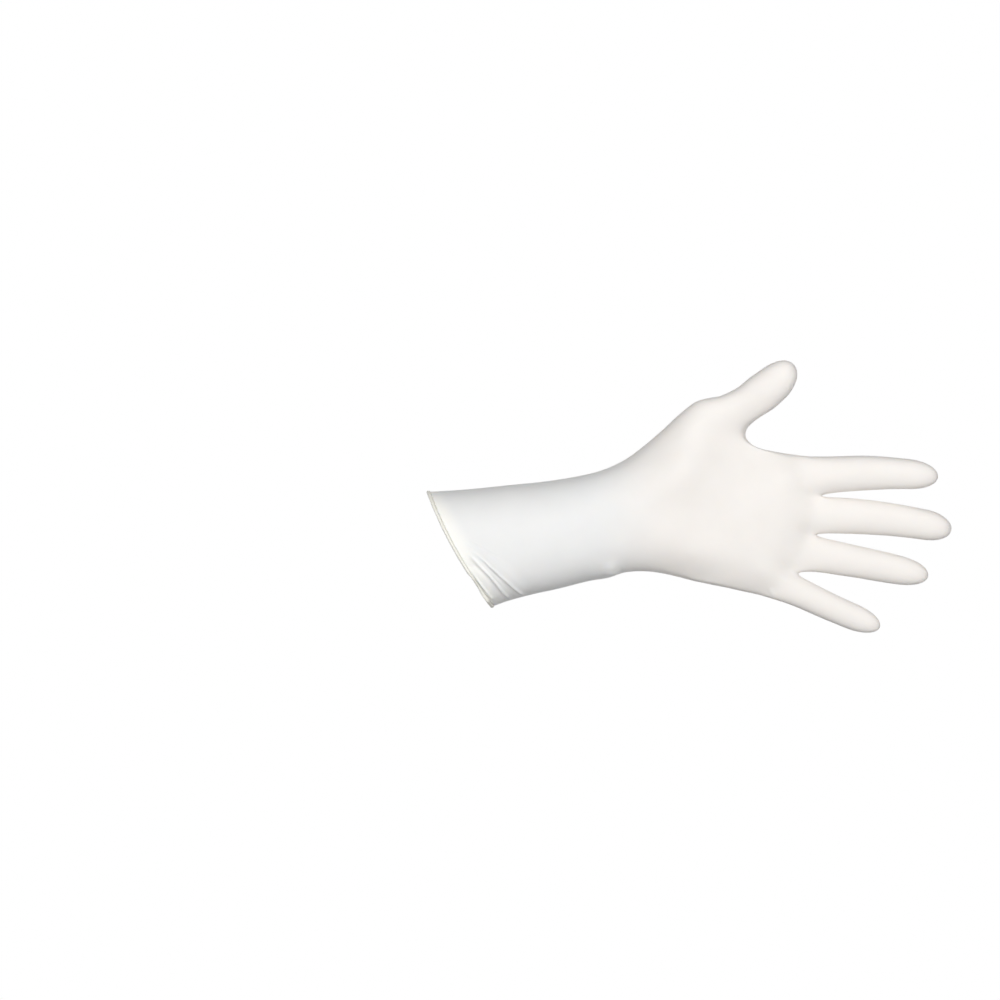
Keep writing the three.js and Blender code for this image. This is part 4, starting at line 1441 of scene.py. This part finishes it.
@dataclass
class Studio:
    """A pale floor, one soft lamp, a dome that is bright in front and behind and dim at the sides, and the
    camera. Lengths in metres, angles in degrees. The lobe is the cosine from the front at which the front
    light starts, and the one at which it is full."""

    floor_height: float = -0.42
    floor_width: float = 1.6
    paint: str = "#D2D2D2"
    seen: float = 1.0
    front: Place = (0.0, -0.99, 0.12)
    front_light: float = 1.7
    back_light: float = 1.25
    side_light: float = 0.04
    lobe: tuple[float, float] = (0.36, 0.95)
    key_place: Place = (0.3, -2.2, 1.3)
    key_target: Place = (0.12, 0.0, 0.02)
    key_width: float = 0.8
    key_power: float = 8.0
    view_width: float = 0.611
    view_x: float = 0.0256
    view_z: float = 0.029
    distance: float = 4.0
    roll: float = 2.8
    sensor: float = 36.0

    def build(self) -> None:
        """Makes the floor, the surroundings, the lamp and the camera."""
        scene = bpy.context.scene
        scene.view_settings.view_transform = "Standard"
        self.floor()
        scene.world = self.surroundings()
        self.lamp("key", self.key_place, self.key_target, self.key_width, self.key_power)
        self.camera(scene)

    def pale(self, tree: bpy.types.NodeTree, light: bpy.types.NodeSocket) -> bpy.types.NodeSocket:
        """White as the camera sees it, and this light or surface otherwise.

        Args:
            tree: The node tree.
            light: The light or surface.

        Returns:
            The mixture.
        """
        rays = add_node(tree, "ShaderNodeLightPath").outputs["Is Camera Ray"]
        white = add_node(tree, "ShaderNodeEmission", Color=(1.0, 1.0, 1.0, 1.0), Strength=self.seen)
        return add_node(tree, "ShaderNodeMixShader", i0=rays, i1=light, i2=white.outputs[0]).outputs[0]

    def floor(self) -> None:
        """Makes a painted square floor under the glove."""
        half = self.floor_width / 2
        corners = np.array([(-half, -half), (half, -half), (half, half), (-half, half)])
        points = np.column_stack([corners, np.full(4, self.floor_height)]) / MILLIMETRE
        floor = mesh_object("studio_floor", points, [np.array([[0, 1, 2, 3]])])
        material, tree, output = new_material("pale_painted_floor")
        paint = add_node(tree, "ShaderNodeBsdfDiffuse", Color=linear(self.paint))
        tree.links.new(self.pale(tree, paint.outputs[0]), output.inputs[0])
        floor.data.materials.append(material)

    def surroundings(self) -> bpy.types.World:
        """Makes the dome, whose light rises by a smooth step of the cosine from the front, and from behind.

        Returns:
            The world.
        """
        world = bpy.data.worlds.new("studio")
        world.use_nodes = True
        tree = world.node_tree
        tree.nodes.clear()
        output = add_node(tree, "ShaderNodeOutputWorld")
        smooth = {"interpolation_type": "SMOOTHSTEP"}
        way = add_node(tree, "ShaderNodeTexCoord").outputs["Generated"]
        facing = add_node(tree, "ShaderNodeVectorMath", {"operation": "DOT_PRODUCT"}, i0=way, i1=self.front)
        start, full = self.lobe
        ahead = add_node(
            tree, "ShaderNodeMapRange", smooth, Value=facing.outputs["Value"],
            i1=start, i2=full, i3=self.side_light, i4=self.front_light,
        )
        behind = add_node(
            tree, "ShaderNodeMapRange", smooth, Value=facing.outputs["Value"],
            i1=-start, i2=-full, i3=0.0, i4=self.back_light,
        )
        dome = add_node(tree, "ShaderNodeMath", i0=ahead.outputs[0], i1=behind.outputs[0])
        grey = add_node(tree, "ShaderNodeBackground", Color=(1.0, 1.0, 1.0, 1.0), Strength=dome.outputs[0])
        tree.links.new(self.pale(tree, grey.outputs[0]), output.inputs[0])
        return world

    def lamp(self, name: str, place: Place, target: Place, width: float, power: float) -> None:
        """A soft square lamp that faces a point.

        Args:
            name: The lamp's name.
            place: Where it is.
            target: The point that it faces.
            width: Its width.
            power: Its power in watts.
        """
        light = bpy.data.lights.new(name, "AREA")
        light.shape = "SQUARE"
        light.size = width
        light.energy = power
        lamp = bpy.data.objects.new(name, light)
        back = np.array(place) - np.array(target)
        back /= np.linalg.norm(back)
        right = np.cross((0.0, 0.0, 1.0), back)
        right /= np.linalg.norm(right)
        turn = np.eye(4)
        turn[:3, :3] = np.stack([right, np.cross(back, right), back], axis=1)
        turn[:3, 3] = place
        lamp.matrix_world = Matrix(turn.tolist())
        bpy.context.scene.collection.objects.link(lamp)

    def camera(self, scene: bpy.types.Scene) -> None:
        """Makes a long lens that looks along +Y at the photograph's angle, with its slight roll.

        Args:
            scene: The scene that it becomes the camera of.
        """
        data = bpy.data.cameras.new("camera")
        data.sensor_width = self.sensor
        data.lens = self.sensor * self.distance / self.view_width
        camera = bpy.data.objects.new("camera", data)
        angle = np.radians(self.roll)
        turn = np.eye(4)
        turn[:3, 0] = (np.cos(angle), 0.0, -np.sin(angle))
        turn[:3, 1] = (np.sin(angle), 0.0, np.cos(angle))
        turn[:3, 2] = (0.0, -1.0, 0.0)
        turn[:3, 3] = (self.view_x, -self.distance, self.view_z)
        camera.matrix_world = Matrix(turn.tolist())
        scene.collection.objects.link(camera)
        scene.camera = camera


def report(piece: bpy.types.Object) -> None:
    """Reports a piece's name and its counts of points and faces."""
    LOG.info("%s: %d points, %d faces", piece.name, len(piece.data.vertices), len(piece.data.polygons))


def main() -> None:
    """Builds the studio, the film and its bead in order."""
    logging.basicConfig(level=logging.INFO, format="%(name)s: %(message)s")
    Studio().build()
    film, rim, following, normals = GloveFilm().build()
    report(film)
    bead = RolledBead().build(rim, following, normals)
    report(bead)


if __name__ == "__main__":
    main()
